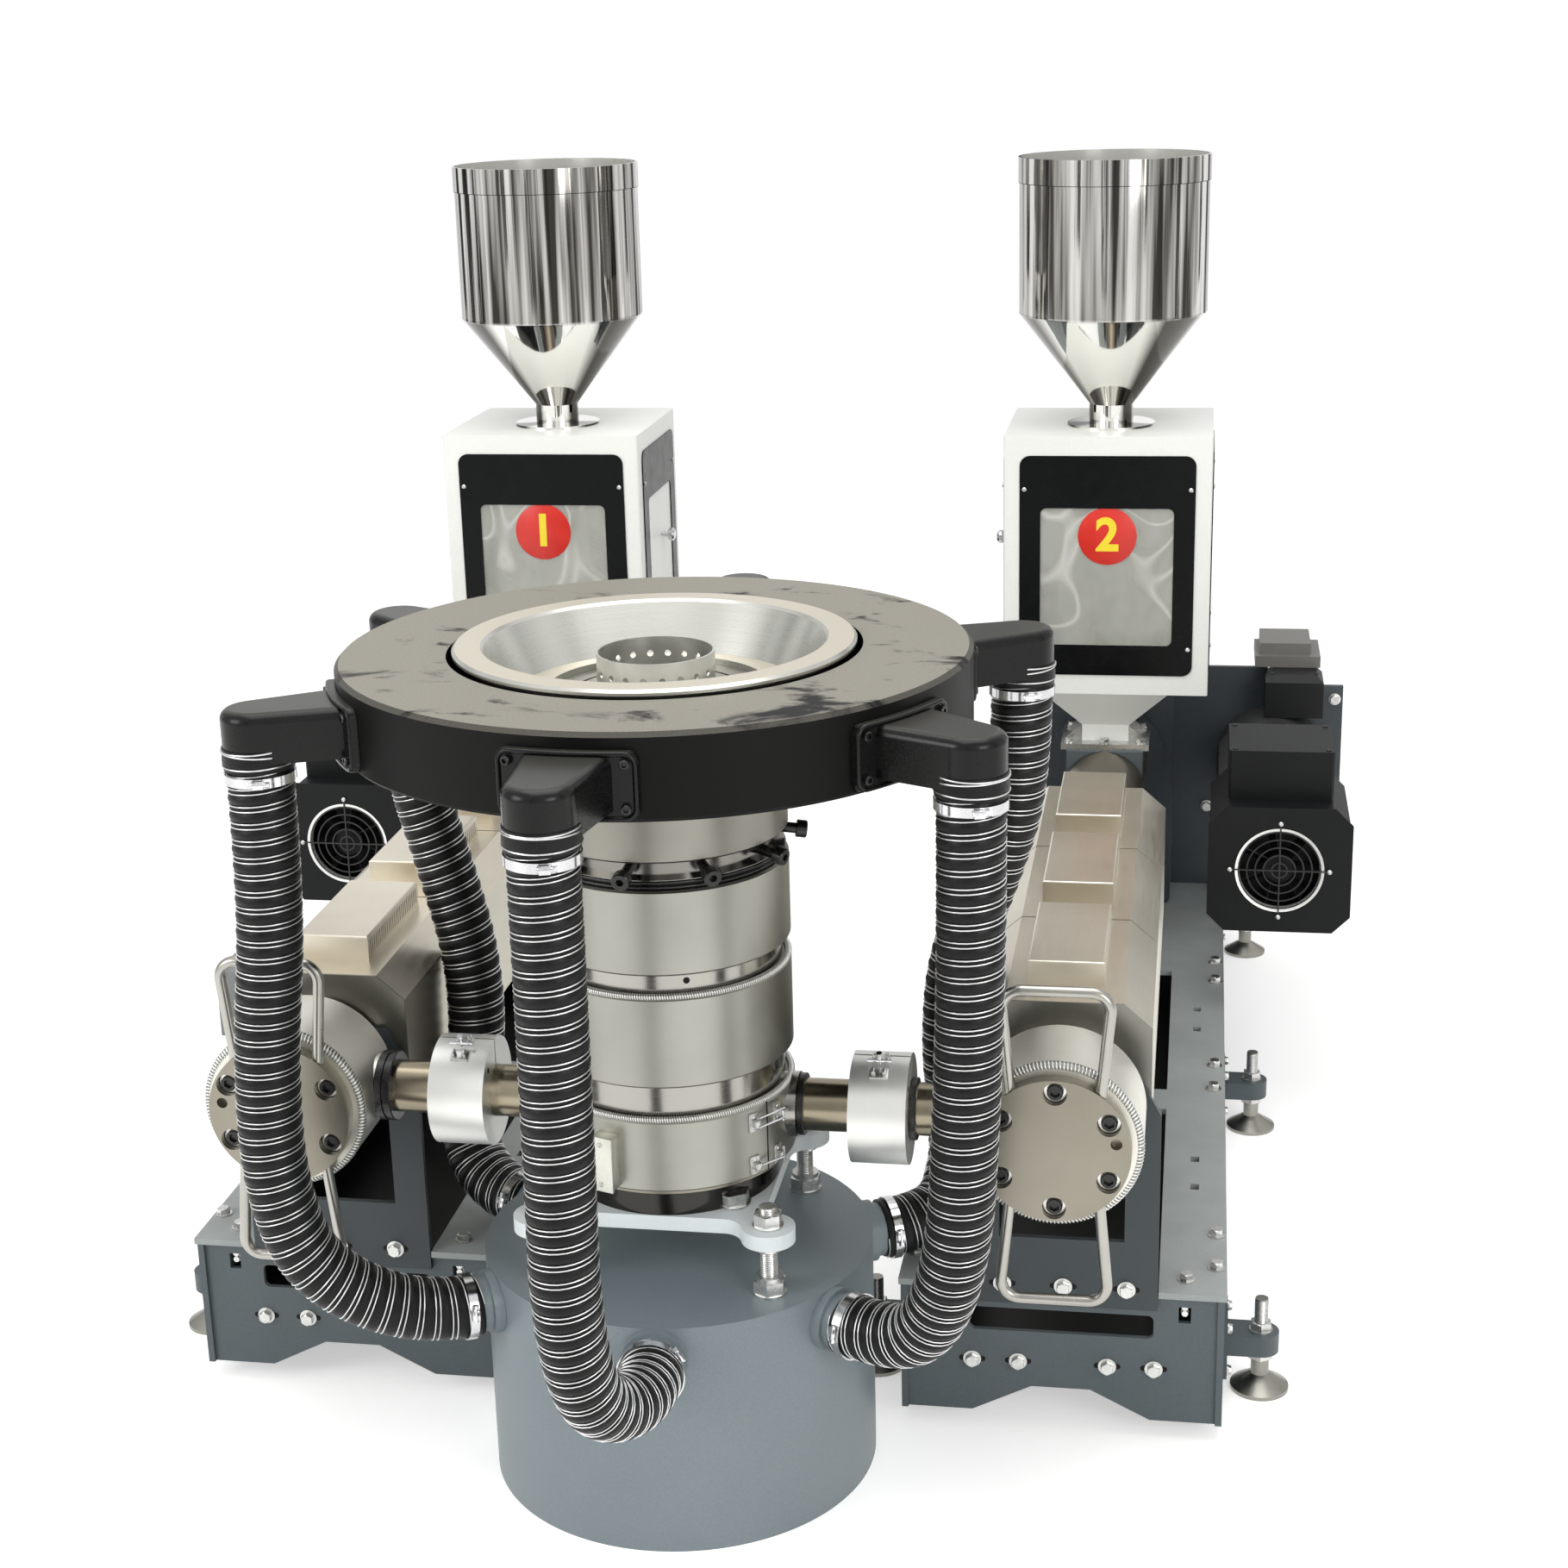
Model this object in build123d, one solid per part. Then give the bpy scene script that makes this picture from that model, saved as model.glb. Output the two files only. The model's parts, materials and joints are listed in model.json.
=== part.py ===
from build123d import *
import os
from math import cos, radians, sin, tan

# Two-extruder blown-film unit. Millimetres, +Z up. The origin is on the floor under the die,
# +Y runs back along the barrels, +X is the side of extruder B, and extruder A mirrors it.

# Fits and cuts
fit = 0.3
overrun = 20.0

# Air tank
tank_radius = 285.0
tank_height = 352.0
tank_sheet = 6.0
tank_end_plate = 5.0

# Air hoses, their spigots on the tank and the elbows on the ring
hose_radius = 45.0
spigot_turns = (4.5, 60.0, 115.0, 180.0, 240.0, 302.0)
spigot_drop = 46.0
spigot_radius = 40.0
spigot_wall = 3.0
spigot_inset = 12.0
spigot_reach = 25.0
spigot_collar_radius = 46.0
spigot_collar_width = 12.0
ring_turn = -2.5
inlet_count = 6

# Die stand
lug_square = 163.0
stud_radius = 12.0
stud_head = 30.0
stud_foot_radius = 20.0
stud_foot_height = 28.0
stud_collar_height = 12.0
stand_gap = 81.0
stand_plate_thickness = 22.0
stand_plate_half = 152.0
stand_lobe_radius = 38.0
stand_lobe_blend = 30.0

# Die
die_base_radius = 150.0
die_base_height = 44.0
die_core_radius = 163.0
die_neck_radius = 157.0
die_neck_shares = (0.656388, 0.713656)
seal_radius = 170.0
seal_height = 14.0
die_head_radius = 176.0
die_mouth_radius = 150.0
die_mouth_height = 1180.0
die_slit_radius = 118.0
die_slit_width = 4.0
die_slit_depth = 25.0
band_radius = 176.0
band_shares = ((0.005874, 0.161527), (0.234949, 0.428781), (0.477239, 0.656388))
band_edge = 3.0

# Air ring
ring_radius = 435.0
ring_below_mouth = 53.0
ring_height = 115.0
ring_sheet = 4.0
ring_edge = 6.0
ring_mouth_radius = 285.0
lip_stand = 10.5
lip_radius = 277.0
lip_flange = 12.0
lip_edge = 4.0
lip_mouth_radius = 234.0
lip_body_radius = 252.0
lip_floor_radius = 196.0
lip_floor_rise = 2.0
lip_step_radius = 166.0
lip_step_height = 6.0
cage_radius = 81.5
cage_wall = 3.0
cage_height = 55.0
cage_hole_count = 20
cage_hole_radius = 4.5
cage_hole_drop = 24.0

# Inlet elbows
elbow_flange_width = 180.0
elbow_flange_height = 88.0
elbow_flange_thickness = 9.0
elbow_flange_corner = 14.0
elbow_root_width = 118.0
elbow_height = 68.0
elbow_rise = 20.0
elbow_stand = 110.0
elbow_tip_radius = 46.0
elbow_round = 14.0
spout_length = 12.0

# Melt pipes and their clamp heaters
pipe_rise = 68.0
pipe_radius = 38.0
pipe_boss_radius = 47.0
pipe_boss_stand = 9.0
pipe_heater_radius = 80.0
pipe_heater_width = 82.0
pipe_heater_gap = 79.0
pipe_heater_slot = 4.0

# Extruder frames
frame_gap = 31.0
frame_width = 480.0
frame_front = 94.0
frame_length = 2225.0
frame_bottom = 30.0
frame_drop = 318.0
side_plate = 10.0
side_plate_lead = 6.0
end_plate = 8.0
rail_width = 100.0
rail_plate = 10.0
rail_overhang = 3.0
rail_hole_width = 14.0
rail_hole_length = 20.0
rail_hole_front = 346.0
rail_hole_front_pitch = 101.0
rail_hole_back = 997.0
rail_hole_back_pitch = 96.0
arch_height = 45.0
arch_foot = 97.0
arch_slope = 89.0
slot_width = 273.0
slot_height = 38.0
slot_drop = 82.0
slot_corner = 9.0
nut_window_width = 18.0
nut_window_height = 26.0
nut_window_drop = 17.0
nut_window_inset = 58.0
tray_drop = 96.0
tray_sheet = 3.0
bed_length = 931.0
cross_bar_width = 80.0
cross_bar_place = 640.0

# Levelling feet
foot_inset = 168.0
foot_middle_shift = 10.5
foot_out = 59.0
foot_radius = 45.0
foot_height = 26.0
foot_edge = 6.0
foot_neck_radius = 14.0
foot_stud_radius = 10.0
foot_stud_rise = 55.0
foot_collar_radius = 17.0
foot_collar_height = 14.0
bracket_rise = 36.0
bracket_thickness = 33.0
bracket_width = 56.0
bracket_plate_width = 90.0
bracket_plate_height = 96.0
bracket_plate = 8.0

# Barrels and their front supports
barrel_radius = 80.0
support_clear = 1.0
support_hang = 30.0
support_plate = 10.0
support_shoulder_drop = 34.0
support_rise = 51.0
support_top_width = 190.0
support_window_width = 184.0
support_window_drop = 238.0
support_seat_wall = 16.0
panel_sheet = 3.0

# Heater covers
cover_half = 127.0
cover_rise = 133.0
cover_top_half = 85.0
cover_shoulder = 96.0
cover_drop = 100.0
cover_zone = 343.0
cover_seam = 3.0
zone_count = 3
cover_box_width = 112.0
cover_box_length = 252.0
cover_box_height = 40.0
cover_box_shift = 10.0
cover_box_edge = 3.0
louvre_count = 26
louvre_width = 2.5
louvre_depth = 2.0
louvre_margin = 8.0

# Noses
nose_front = -120.0
nose_flange_radius = 105.0
nose_flange_thickness = 22.0
nose_bolt_circle = 85.4
nose_bolt_count = 6
nose_bore_radius = 16.5
nose_bore_depth = 14.0
nose_ring_radius = 113.0
nose_ring_width = 12.0
nose_band_radius = 121.0
nose_band_length = 126.0
nose_neck_radius = 92.0
dowel_radius = 8.0
dowel_turn = 10.0
handle_radius = 8.0
handle_foot_half = 59.0
handle_top_half = 76.0
handle_height = 231.0
handle_corner = 26.0

# Feed throats, hopper boxes and hoppers
feed_place = 118.0
feed_block_width = 150.0
feed_block_length = 170.0
feed_block_rise = 80.0
feed_leg = 24.0
feed_plate_width = 173.0
feed_plate_length = 148.0
feed_plate_thickness = 12.0
feed_neck_half = 46.0
feed_neck_height = 33.0
feed_funnel_half = 122.0
feed_rib = 6.0
feed_rib_reach = 34.0
feed_rib_height = 30.0
feed_rib_place = 34.0
box_width = 396.0
box_lead = 114.0
box_length = 354.0
box_rise = 114.0
box_height = 506.0
box_sheet = 4.0
box_edge = 5.0
panel_width = 334.0
panel_side_width = 292.0
panel_rise = 39.0
panel_drop = 37.0
panel_corner = 20.0
panel_thickness = 2.5
window_width = 254.0
window_side_width = 212.0
window_rise = 60.0
window_drop = 101.0
window_corner = 12.0
pane_thickness = 3.0
bin_gap = 34.0
bin_drop = 89.0
bin_rise = 27.0
bin_taper = 60.0
bin_taper_height = 160.0
hopper_shift = 42.0
hopper_radius = 180.0
hopper_wall = 2.0
hopper_height = 511.0
hopper_cylinder = 294.0
hopper_rim = 47.0
hopper_rim_step = 2.0
hopper_neck_radius = 43.0
hopper_neck_height = 41.0
hopper_plate_radius = 85.0
hopper_plate = 4.0

# Drives
motor_out = 335.0
motor_drop = 29.0
motor_reach = 735.0
motor_face_width = 260.0
motor_face_height = 240.0
motor_face_corner = 32.0
motor_face_plate = 4.0
shroud_length = 258.0
shroud_inset = 4.0
motor_body_length = 340.0
motor_body_inset = 16.0
fin_count = 9
fin_gap = 9.0
fin_depth = 8.0
motor_flange_radius = 112.0
fan_duct_radius = 81.0
fan_duct_depth = 62.0
fan_pin_radius = 6.0
running_fit = 0.05
fan_hub_radius = 27.0
fan_tip_gap = 10.0
fan_front_gap = 12.0
fan_depth = 26.0
fan_blade_count = 7
fan_blade = 2.5
fan_blade_twist = 32.0
guard_wire = 1.3
guard_ring_inset = 7.0
guard_ring_pitch = 15.0
guard_ear_out = 9.0
guard_ear_radius = 5.0
terminal_half = 95.0
terminal_inset = 58.0
terminal_length = 185.0
terminal_height = 94.0
terminal_edge = 4.0
gearbox_length = 160.0
drive_plate = 12.0
drive_plate_inner = 126.0
drive_plate_overhang = 144.0
drive_plate_rise = 164.0
drive_plate_step_in = 21.0
drive_plate_low_rise = 126.0
drive_plate_motor_drop = 167.0
coupling_in = 18.0
coupling_out = 99.0
coupling_length = 100.0
coupling_rise = 171.0
coupling_chamfer = 14.0
relay_in = 39.0
relay_out = 94.0
relay_length = 150.0
relay_height = 46.0
relay_step = 20.0
gearbox_front = 1740.0
gearbox_half = 132.0
gearbox_rise = 157.0
gearbox_edge = 18.0
gearbox_flange_radius = 118.0
gearbox_flange = 26.0
belt_guard_length = 130.0
belt_guard_radius = 118.0
junction_depth = 48.0
junction_inset = 15.0
junction_length = 130.0
junction_rise = 18.0
junction_height = 105.0

# Hose routes: how far each hose drops straight from its elbow, then the bends down to the tank.
# The outlets and the last straight runs into the spigots are worked out below.
hose_drops = (200.0, 195.0, 150.0, 200.0, 155.0, 200.0)
hose_lead = 85.0
hose_bends = (
    ((-22, -556, 720), (-26, -550, 500), (-12, -500, 350)),
    ((452, -290, 700), (440, -276, 490), (400, -231, 352)),
    ((440, 264, 835), (384, 264, 695), (375, 258, 550), (386, 270, 432), (388, 226, 350)),
    ((20, 560, 720), (26, 548, 520), (22, 470, 370)),
    ((-420, 300, 820), (-378, 290, 660), (-376, 278, 510), (-396, 244, 380)),
    ((-508, -262, 730), (-512, -266, 530), (-470, -256, 390)),
)

# Dependent heights, from the floor up: the tank carries the stand, the stand the die, and the die the ring
spigot_height = tank_height - spigot_drop
stand_plate_bottom = tank_height + stand_gap
plate_top = stand_plate_bottom + stand_plate_thickness
base_top = plate_top + die_base_height
die_rise = die_mouth_height - base_top
band_levels = [[base_top + share * die_rise for share in pair_of_shares] for pair_of_shares in band_shares]
die_neck_bottom, die_neck_top = [base_top + share * die_rise for share in die_neck_shares]
ring_bottom = die_mouth_height - ring_below_mouth
ring_top = ring_bottom + ring_height
lip_top = ring_top + lip_stand
lip_floor_height = die_mouth_height + lip_floor_rise
cage_top = die_mouth_height + cage_height
elbow_bottom = ring_bottom + elbow_rise
elbow_top = elbow_bottom + elbow_height
elbow_reach = ring_radius + elbow_stand
spout_bottom = elbow_bottom - spout_length

# The barrels meet the die at its ports, and the frames carry them at that height
axis_height = base_top + pipe_rise
frame_top = axis_height - frame_drop
rail_bottom = frame_top - rail_plate
slot_bottom = frame_top - slot_drop
bracket_bottom = frame_bottom + bracket_rise
foot_stud_top = bracket_bottom + bracket_thickness + foot_stud_rise
support_bottom = frame_top - support_hang
support_shoulder = axis_height - support_shoulder_drop
support_top = axis_height + support_rise
support_window_bottom = axis_height - support_window_drop
feed_plate_bottom = axis_height + barrel_radius
feed_plate_top = feed_plate_bottom + feed_plate_thickness
feed_neck_top = feed_plate_top + feed_neck_height
box_bottom = feed_plate_top + box_rise
box_top = box_bottom + box_height
panel_bottom = box_bottom + panel_rise
panel_top = box_top - panel_drop
window_bottom = panel_bottom + window_rise
window_top = panel_top - window_drop
bin_top = box_top - bin_drop
bin_bottom = box_bottom + bin_rise
bin_taper_top = bin_bottom + bin_taper_height
hopper_neck_top = box_top + hopper_neck_height
hopper_top = box_top + hopper_height
motor_z = axis_height - motor_drop
motor_top = motor_z + motor_face_height / 2 - shroud_inset
drive_plate_top = axis_height + drive_plate_rise
drive_plate_low = axis_height + drive_plate_low_rise
drive_plate_motor_bottom = axis_height - drive_plate_motor_drop
coupling_top = axis_height + coupling_rise
gearbox_top = axis_height + gearbox_rise

# Dependent places across and along the extruders
extruder_x = tank_radius + frame_gap + frame_width / 2
motor_x = extruder_x + motor_out
drive_plate_outer = motor_x + drive_plate_overhang
drive_plate_step = motor_x - drive_plate_step_in
coupling_x = (motor_x - coupling_in, motor_x + coupling_out)
relay_x = (motor_x - relay_in, motor_x + relay_out)
die_side = die_head_radius + pipe_boss_stand
nose_side = extruder_x - nose_band_radius - pipe_boss_stand
support_front = frame_front - support_plate
cover_front = frame_front + panel_sheet
frame_back = frame_front + frame_length
bed_start = frame_back - end_plate - bed_length
barrel_back = gearbox_front
drive_plate_front = gearbox_front + gearbox_length
drive_back = drive_plate_front + drive_plate
coupling_y = drive_plate_front - coupling_length
feed_y = gearbox_front - feed_place
box_front = feed_y - box_lead
hopper_y = feed_y + hopper_shift
motor_front = drive_plate_front - motor_reach
terminal_front = motor_front + terminal_inset
fan_tip_radius = fan_duct_radius - fan_tip_gap
guard_ear_place = fan_duct_radius + guard_ear_out


def save(name, *solids):
    """Write one sub-part, which may hold several solids that don't touch."""
    export_step(Compound(children=list(solids)) if len(solids) > 1 else solids[0], f"parts/{name}.step")


def block(x, y, z):
    """A box between pairs of limits."""
    size = [limits[1] - limits[0] for limits in (x, y, z)]
    middle = [(limits[0] + limits[1]) / 2 for limits in (x, y, z)]
    return Pos(*middle) * Box(*size)


def post(radius, z, at=(0, 0)):
    """A vertical cylinder between two heights."""
    return Pos(at[0], at[1], (z[0] + z[1]) / 2) * Cylinder(radius, z[1] - z[0])


def shaft(radius, y, at):
    """A cylinder along Y between two places, on the line at (x, z)."""
    return Pos(at[0], (y[0] + y[1]) / 2, at[1]) * Rot(90, 0, 0) * Cylinder(radius, y[1] - y[0])


def spool(radius, x, y, z):
    """A cylinder along X between two places."""
    return Pos((x[0] + x[1]) / 2, y, z) * Rot(0, 90, 0) * Cylinder(radius, x[1] - x[0])


def turned(*points):
    """A solid turned about the die's axis from (radius, height) points."""
    outline = Polyline(*[(radius, 0, height) for radius, height in points], close=True)
    return revolve(make_face(outline), Axis.Z)


def prism_y(points, y):
    """An outline of (x, z) points carried along Y between two places."""
    outline = Polyline(*[(x, y[0], z) for x, z in points], close=True)
    return extrude(make_face(outline), (y[1] - y[0]), dir=(0, 1, 0))


def mirrored(points):
    """A half outline at +x and its mirror image, as one closed outline."""
    return list(points) + [(-x, z) for x, z in reversed(points)]


def shifted(points, x, z=0):
    """An outline moved to another place."""
    return [(point[0] + x, point[1] + z) for point in points]


def octagon(width, height, corner):
    """The (x, z) points of a rectangle with cut corners."""
    x, z = width / 2, height / 2
    half = [(x - corner, -z), (x, corner - z), (x, z - corner), (x - corner, z)]
    return mirrored(half)


def rounded_plate(width, z, y, corner, x=0):
    """An upright plate facing Y with rounded corners."""
    face = Plane(origin=(x, y[0], (z[0] + z[1]) / 2), x_dir=(1, 0, 0), z_dir=(0, -1, 0))
    return extrude(face * RectangleRounded(width, z[1] - z[0], corner), y[0] - y[1])


def at_turn(shape, turn):
    """Turn a shape made at the front, on -Y, about the die's axis towards +X."""
    return Rot(0, 0, turn) * shape


def polar(radius, turn, height):
    """The point at a radius and turn about the die's axis."""
    return (radius * sin(radians(turn)), -radius * cos(radians(turn)), height)


def pair(shape):
    """The same shape on extruder B and, mirrored, on extruder A."""
    return [shape, mirror(shape, about=Plane.YZ)]


def save_pair(name, *shapes):
    """One sub-part with the pieces of both extruders."""
    save(name, *[solid for shape in shapes for solid in pair(shape)])


# Air tank
tank_wall = post(tank_radius, (tank_end_plate, tank_height - tank_end_plate))
tank_wall -= post(tank_radius - tank_sheet, (0, tank_height))
spigot_end = tank_radius + spigot_reach
spigots = []
for turn in spigot_turns:
    reach = (-spigot_end, spigot_inset - tank_radius)
    tube = shaft(spigot_radius, reach, (0, spigot_height))
    tube -= shaft(spigot_radius - spigot_wall, (reach[0] - overrun, reach[1] + overrun), (0, spigot_height))
    collar_back = spigot_inset - tank_radius
    collar = shaft(spigot_collar_radius, (-tank_radius - spigot_collar_width, collar_back), (0, spigot_height))
    collar -= post(tank_radius + fit, (0, tank_height + overrun + spigot_collar_radius))
    collar -= shaft(spigot_radius - spigot_wall, (reach[0] - overrun, reach[1] + overrun), (0, spigot_height))
    spigots.append(at_turn(tube + collar, turn))
    hole = shaft(spigot_radius + fit, (-tank_radius - overrun, tank_sheet + overrun - tank_radius), (0, spigot_height))
    tank_wall -= at_turn(hole, turn)
save("tank_wall", tank_wall)
save("tank_lid", post(tank_radius, (tank_height - tank_end_plate, tank_height)))
save("tank_base", post(tank_radius, (0, tank_end_plate)))
save("tank_spigots", *spigots)

# Die stand
lug_places = [(x * lug_square, y * lug_square) for x in (-1, 1) for y in (-1, 1)]
plate_outline = Rectangle(2 * stand_plate_half, 2 * stand_plate_half)
for place in lug_places:
    plate_outline += Pos(*place) * Circle(stand_lobe_radius)
plate_outline = fillet(plate_outline.vertices(), stand_lobe_blend)
stand_plate = extrude(Pos(0, 0, stand_plate_bottom) * plate_outline, stand_plate_thickness)
studs = []
for place in lug_places:
    stand_plate -= post(stud_radius + fit, (stand_plate_bottom - overrun, plate_top + overrun), place)
    stud = post(stud_radius, (tank_height, plate_top + stud_head), place)
    stud += post(stud_foot_radius, (tank_height, tank_height + stud_foot_height), place)
    stud += post(stud_foot_radius, (stand_plate_bottom - stud_collar_height, stand_plate_bottom), place)
    studs.append(stud)
save("die_stand_plate", stand_plate)
save("die_stand_studs", *studs)

# Die body, its bands and its head
die_body = turned(
    (0, plate_top), (die_base_radius, plate_top), (die_base_radius, base_top),
    (die_core_radius, base_top), (die_core_radius, die_neck_bottom),
    (seal_radius, die_neck_bottom), (seal_radius, die_neck_bottom + seal_height),
    (die_neck_radius, die_neck_bottom + seal_height), (die_neck_radius, die_neck_top), (0, die_neck_top),
)
for side in (-1, 1):
    ends = sorted((0, side * die_side))
    die_body += spool(pipe_boss_radius, ends, 0, axis_height)
save("die_body", die_body)
bands = []
for low, high in band_levels:
    inner = die_core_radius + fit
    outer = band_radius - band_edge
    band = turned(
        (inner, low), (outer, low), (band_radius, low + band_edge),
        (band_radius, high - band_edge), (outer, high), (inner, high),
    )
    band -= spool(pipe_boss_radius + fit, (-band_radius - overrun, band_radius + overrun), 0, axis_height)
    bands.append(band)
save("die_heater_bands", *bands)
slit_inner = die_slit_radius - die_slit_width
head_edge = die_head_radius - band_edge
die_head = turned(
    (0, die_neck_top), (head_edge, die_neck_top), (die_head_radius, die_neck_top + band_edge),
    (die_head_radius, ring_bottom), (die_mouth_radius, ring_bottom), (die_mouth_radius, die_mouth_height),
    (die_slit_radius, die_mouth_height), (die_slit_radius, die_mouth_height - die_slit_depth),
    (slit_inner, die_mouth_height - die_slit_depth), (slit_inner, die_mouth_height), (0, die_mouth_height),
)
save("die_head", die_head)

# Air ring casing, lip and cage
hollow = ring_mouth_radius + ring_sheet
floor_top = ring_bottom + ring_sheet
outer_edge = ring_radius - ring_edge
casing = turned(
    (die_mouth_radius + fit, ring_bottom), (outer_edge, ring_bottom), (ring_radius, ring_bottom + ring_edge),
    (ring_radius, ring_top - ring_edge), (outer_edge, ring_top), (ring_mouth_radius, ring_top),
    (ring_mouth_radius, floor_top), (die_mouth_radius + fit, floor_top),
)
casing -= turned(
    (hollow, floor_top), (ring_radius - ring_sheet, floor_top + ring_edge),
    (ring_radius - ring_sheet, ring_top - ring_edge), (outer_edge, ring_top - ring_sheet),
    (hollow, ring_top - ring_sheet),
)
save("air_ring_casing", casing)
lip_under = lip_top - lip_flange
lip = turned(
    (lip_floor_radius, floor_top), (lip_body_radius, floor_top), (lip_body_radius, lip_under),
    (lip_radius - lip_edge, lip_under), (lip_radius, lip_under + lip_edge), (lip_radius, lip_top - lip_edge),
    (lip_radius - lip_edge, lip_top), (lip_mouth_radius + lip_edge, lip_top),
    (lip_mouth_radius, lip_top - lip_edge), (lip_floor_radius, lip_floor_height),
)
save("air_ring_lip", lip)

# The floor of the bowl is a plate of its own between the lip and the die
floor_plate = turned(
    (die_mouth_radius + fit, floor_top), (lip_floor_radius - fit, floor_top), (lip_floor_radius - fit, lip_floor_height),
    (lip_step_radius, lip_floor_height), (lip_step_radius, lip_floor_height + lip_step_height),
    (die_mouth_radius + fit, lip_floor_height + lip_step_height),
)
save("air_ring_floor", floor_plate)
cage = post(cage_radius, (die_mouth_height, cage_top))
cage -= post(cage_radius - cage_wall, (die_mouth_height - overrun, cage_top + overrun))
for index in range(cage_hole_count):
    drill = shaft(cage_hole_radius, (-cage_radius - overrun, 0), (0, cage_top - cage_hole_drop))
    cage -= at_turn(drill, index * 360 / cage_hole_count)
save("bubble_cage", cage)

# Inlet elbows
flange_middle = ring_bottom + elbow_flange_height / 2 + ring_edge
flange_z = (flange_middle - elbow_flange_height / 2, flange_middle + elbow_flange_height / 2)
root = elbow_root_width / 2
shell = post(ring_radius + elbow_flange_thickness, (0, elbow_top + overrun))
ring_clear = post(ring_radius + fit, (0, elbow_top + overrun))
flange = rounded_plate(elbow_flange_width, flange_z, (-elbow_reach, -ring_radius / 2), elbow_flange_corner) & shell
duct_plan = make_face(Polyline(
    (-root, -ring_radius), (-root, overrun - ring_radius), (root, overrun - ring_radius), (root, -ring_radius),
    (elbow_tip_radius, -elbow_reach), (-elbow_tip_radius, -elbow_reach), close=True))
duct_plan += Pos(0, -elbow_reach) * Circle(elbow_tip_radius)
duct = extrude(Pos(0, 0, elbow_bottom) * duct_plan, elbow_top - elbow_bottom)
duct = fillet(duct.faces().sort_by(Axis.Z)[-1].edges(), elbow_round)
elbow = duct + flange - ring_clear
elbow += post(elbow_tip_radius, (spout_bottom, elbow_bottom), (0, -elbow_reach))
ring_turns = [ring_turn + index * 360 / inlet_count for index in range(inlet_count)]
save("inlet_elbows", *[at_turn(elbow, turn) for turn in ring_turns])

# Hoses, from each elbow's spout down to its spigot on the tank
for index, bends in enumerate(hose_bends):
    out = spigot_end + hose_lead
    start = polar(elbow_reach, ring_turns[index], spout_bottom)
    end = polar(spigot_end, spigot_turns[index], spigot_height)
    points = [Vector(*start), Vector(start[0], start[1], start[2] - hose_drops[index])]
    points += [Vector(*point) for point in bends]
    points += [Vector(*polar(out, spigot_turns[index], spigot_height)), Vector(*end)]
    runs = [points[place + 1] - points[place] for place in range(len(points) - 1)]
    turns = [runs[place].get_angle(runs[place + 1]) for place in range(len(runs) - 1)]
    shares = [min(runs[place].length, runs[place + 1].length) for place in range(len(turns))]
    radii = [0.45 * share / tan(radians(turn / 2)) for share, turn in zip(shares, turns)]
    route = FilletPolyline(*points, radius=radii)
    section = Plane(origin=points[0], z_dir=runs[0]) * Circle(hose_radius)
    hose = sweep(section, path=route)
    ideal = section.area * route.length
    print("hose", index + 1, "length", round(route.length), "runs", [round(run.length) for run in runs],
          "turns", [round(turn) for turn in turns], "radii", [round(radius) for radius in radii],
          "volume share", round(hose.volume / ideal, 4))
    save(f"hose_{index + 1}", hose)

# Melt pipes and their clamp heaters
save_pair("melt_pipes", spool(pipe_radius, (die_side, nose_side), 0, axis_height))
heater_x = (die_side + pipe_heater_gap, die_side + pipe_heater_gap + pipe_heater_width)
wide_x = (heater_x[0] - overrun, heater_x[1] + overrun)
pipe_heater = spool(pipe_heater_radius, heater_x, 0, axis_height) - spool(pipe_radius + fit, wide_x, 0, axis_height)
slot_y = (-pipe_heater_slot / 2, pipe_heater_slot / 2)
pipe_heater -= block(wide_x, slot_y, (axis_height, axis_height + pipe_heater_radius + overrun))
save_pair("pipe_heaters", pipe_heater)

# Frames
frame_x = (extruder_x - frame_width / 2, extruder_x + frame_width / 2)
side_y = (frame_front - side_plate_lead, frame_back + side_plate_lead)
inner_side = block((frame_x[0], frame_x[0] + side_plate), side_y, (frame_bottom, rail_bottom))
outer_side = block((frame_x[1] - side_plate, frame_x[1]), side_y, (frame_bottom, rail_bottom))
save_pair("frame_side_plates", inner_side, outer_side)
inside = frame_width / 2 - side_plate
arch = mirrored([
    (inside, frame_bottom), (inside - arch_foot, frame_bottom),
    (inside - arch_foot - arch_slope, frame_bottom + arch_height),
])
outline = [(inside, rail_bottom)] + arch + [(-inside, rail_bottom)]
end_face = prism_y(shifted(outline, extruder_x), (0, end_plate))
slot_z = (slot_bottom, slot_bottom + slot_height)
end_face -= rounded_plate(slot_width, slot_z, (-overrun, end_plate + overrun), slot_corner, extruder_x)
for side in (-1, 1):
    middle = extruder_x + side * (frame_width / 2 - nut_window_inset)
    window_x = (middle - nut_window_width / 2, middle + nut_window_width / 2)
    window_z = (rail_bottom - nut_window_drop - nut_window_height, rail_bottom - nut_window_drop)
    end_face -= block(window_x, (-overrun, end_plate + overrun), window_z)
end_places = (frame_front, frame_back - end_plate)
save_pair("frame_end_plates", *[Pos(0, place, 0) * end_face for place in end_places])
tray_z = (rail_bottom - tray_drop - tray_sheet, rail_bottom - tray_drop)
save_pair("frame_trays", block(
    (extruder_x - inside, extruder_x + inside), (frame_front + end_plate, frame_back - end_plate), tray_z))
rails = []
hole_places = (
    rail_hole_front, rail_hole_front + rail_hole_front_pitch, rail_hole_back, rail_hole_back + rail_hole_back_pitch)
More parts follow.
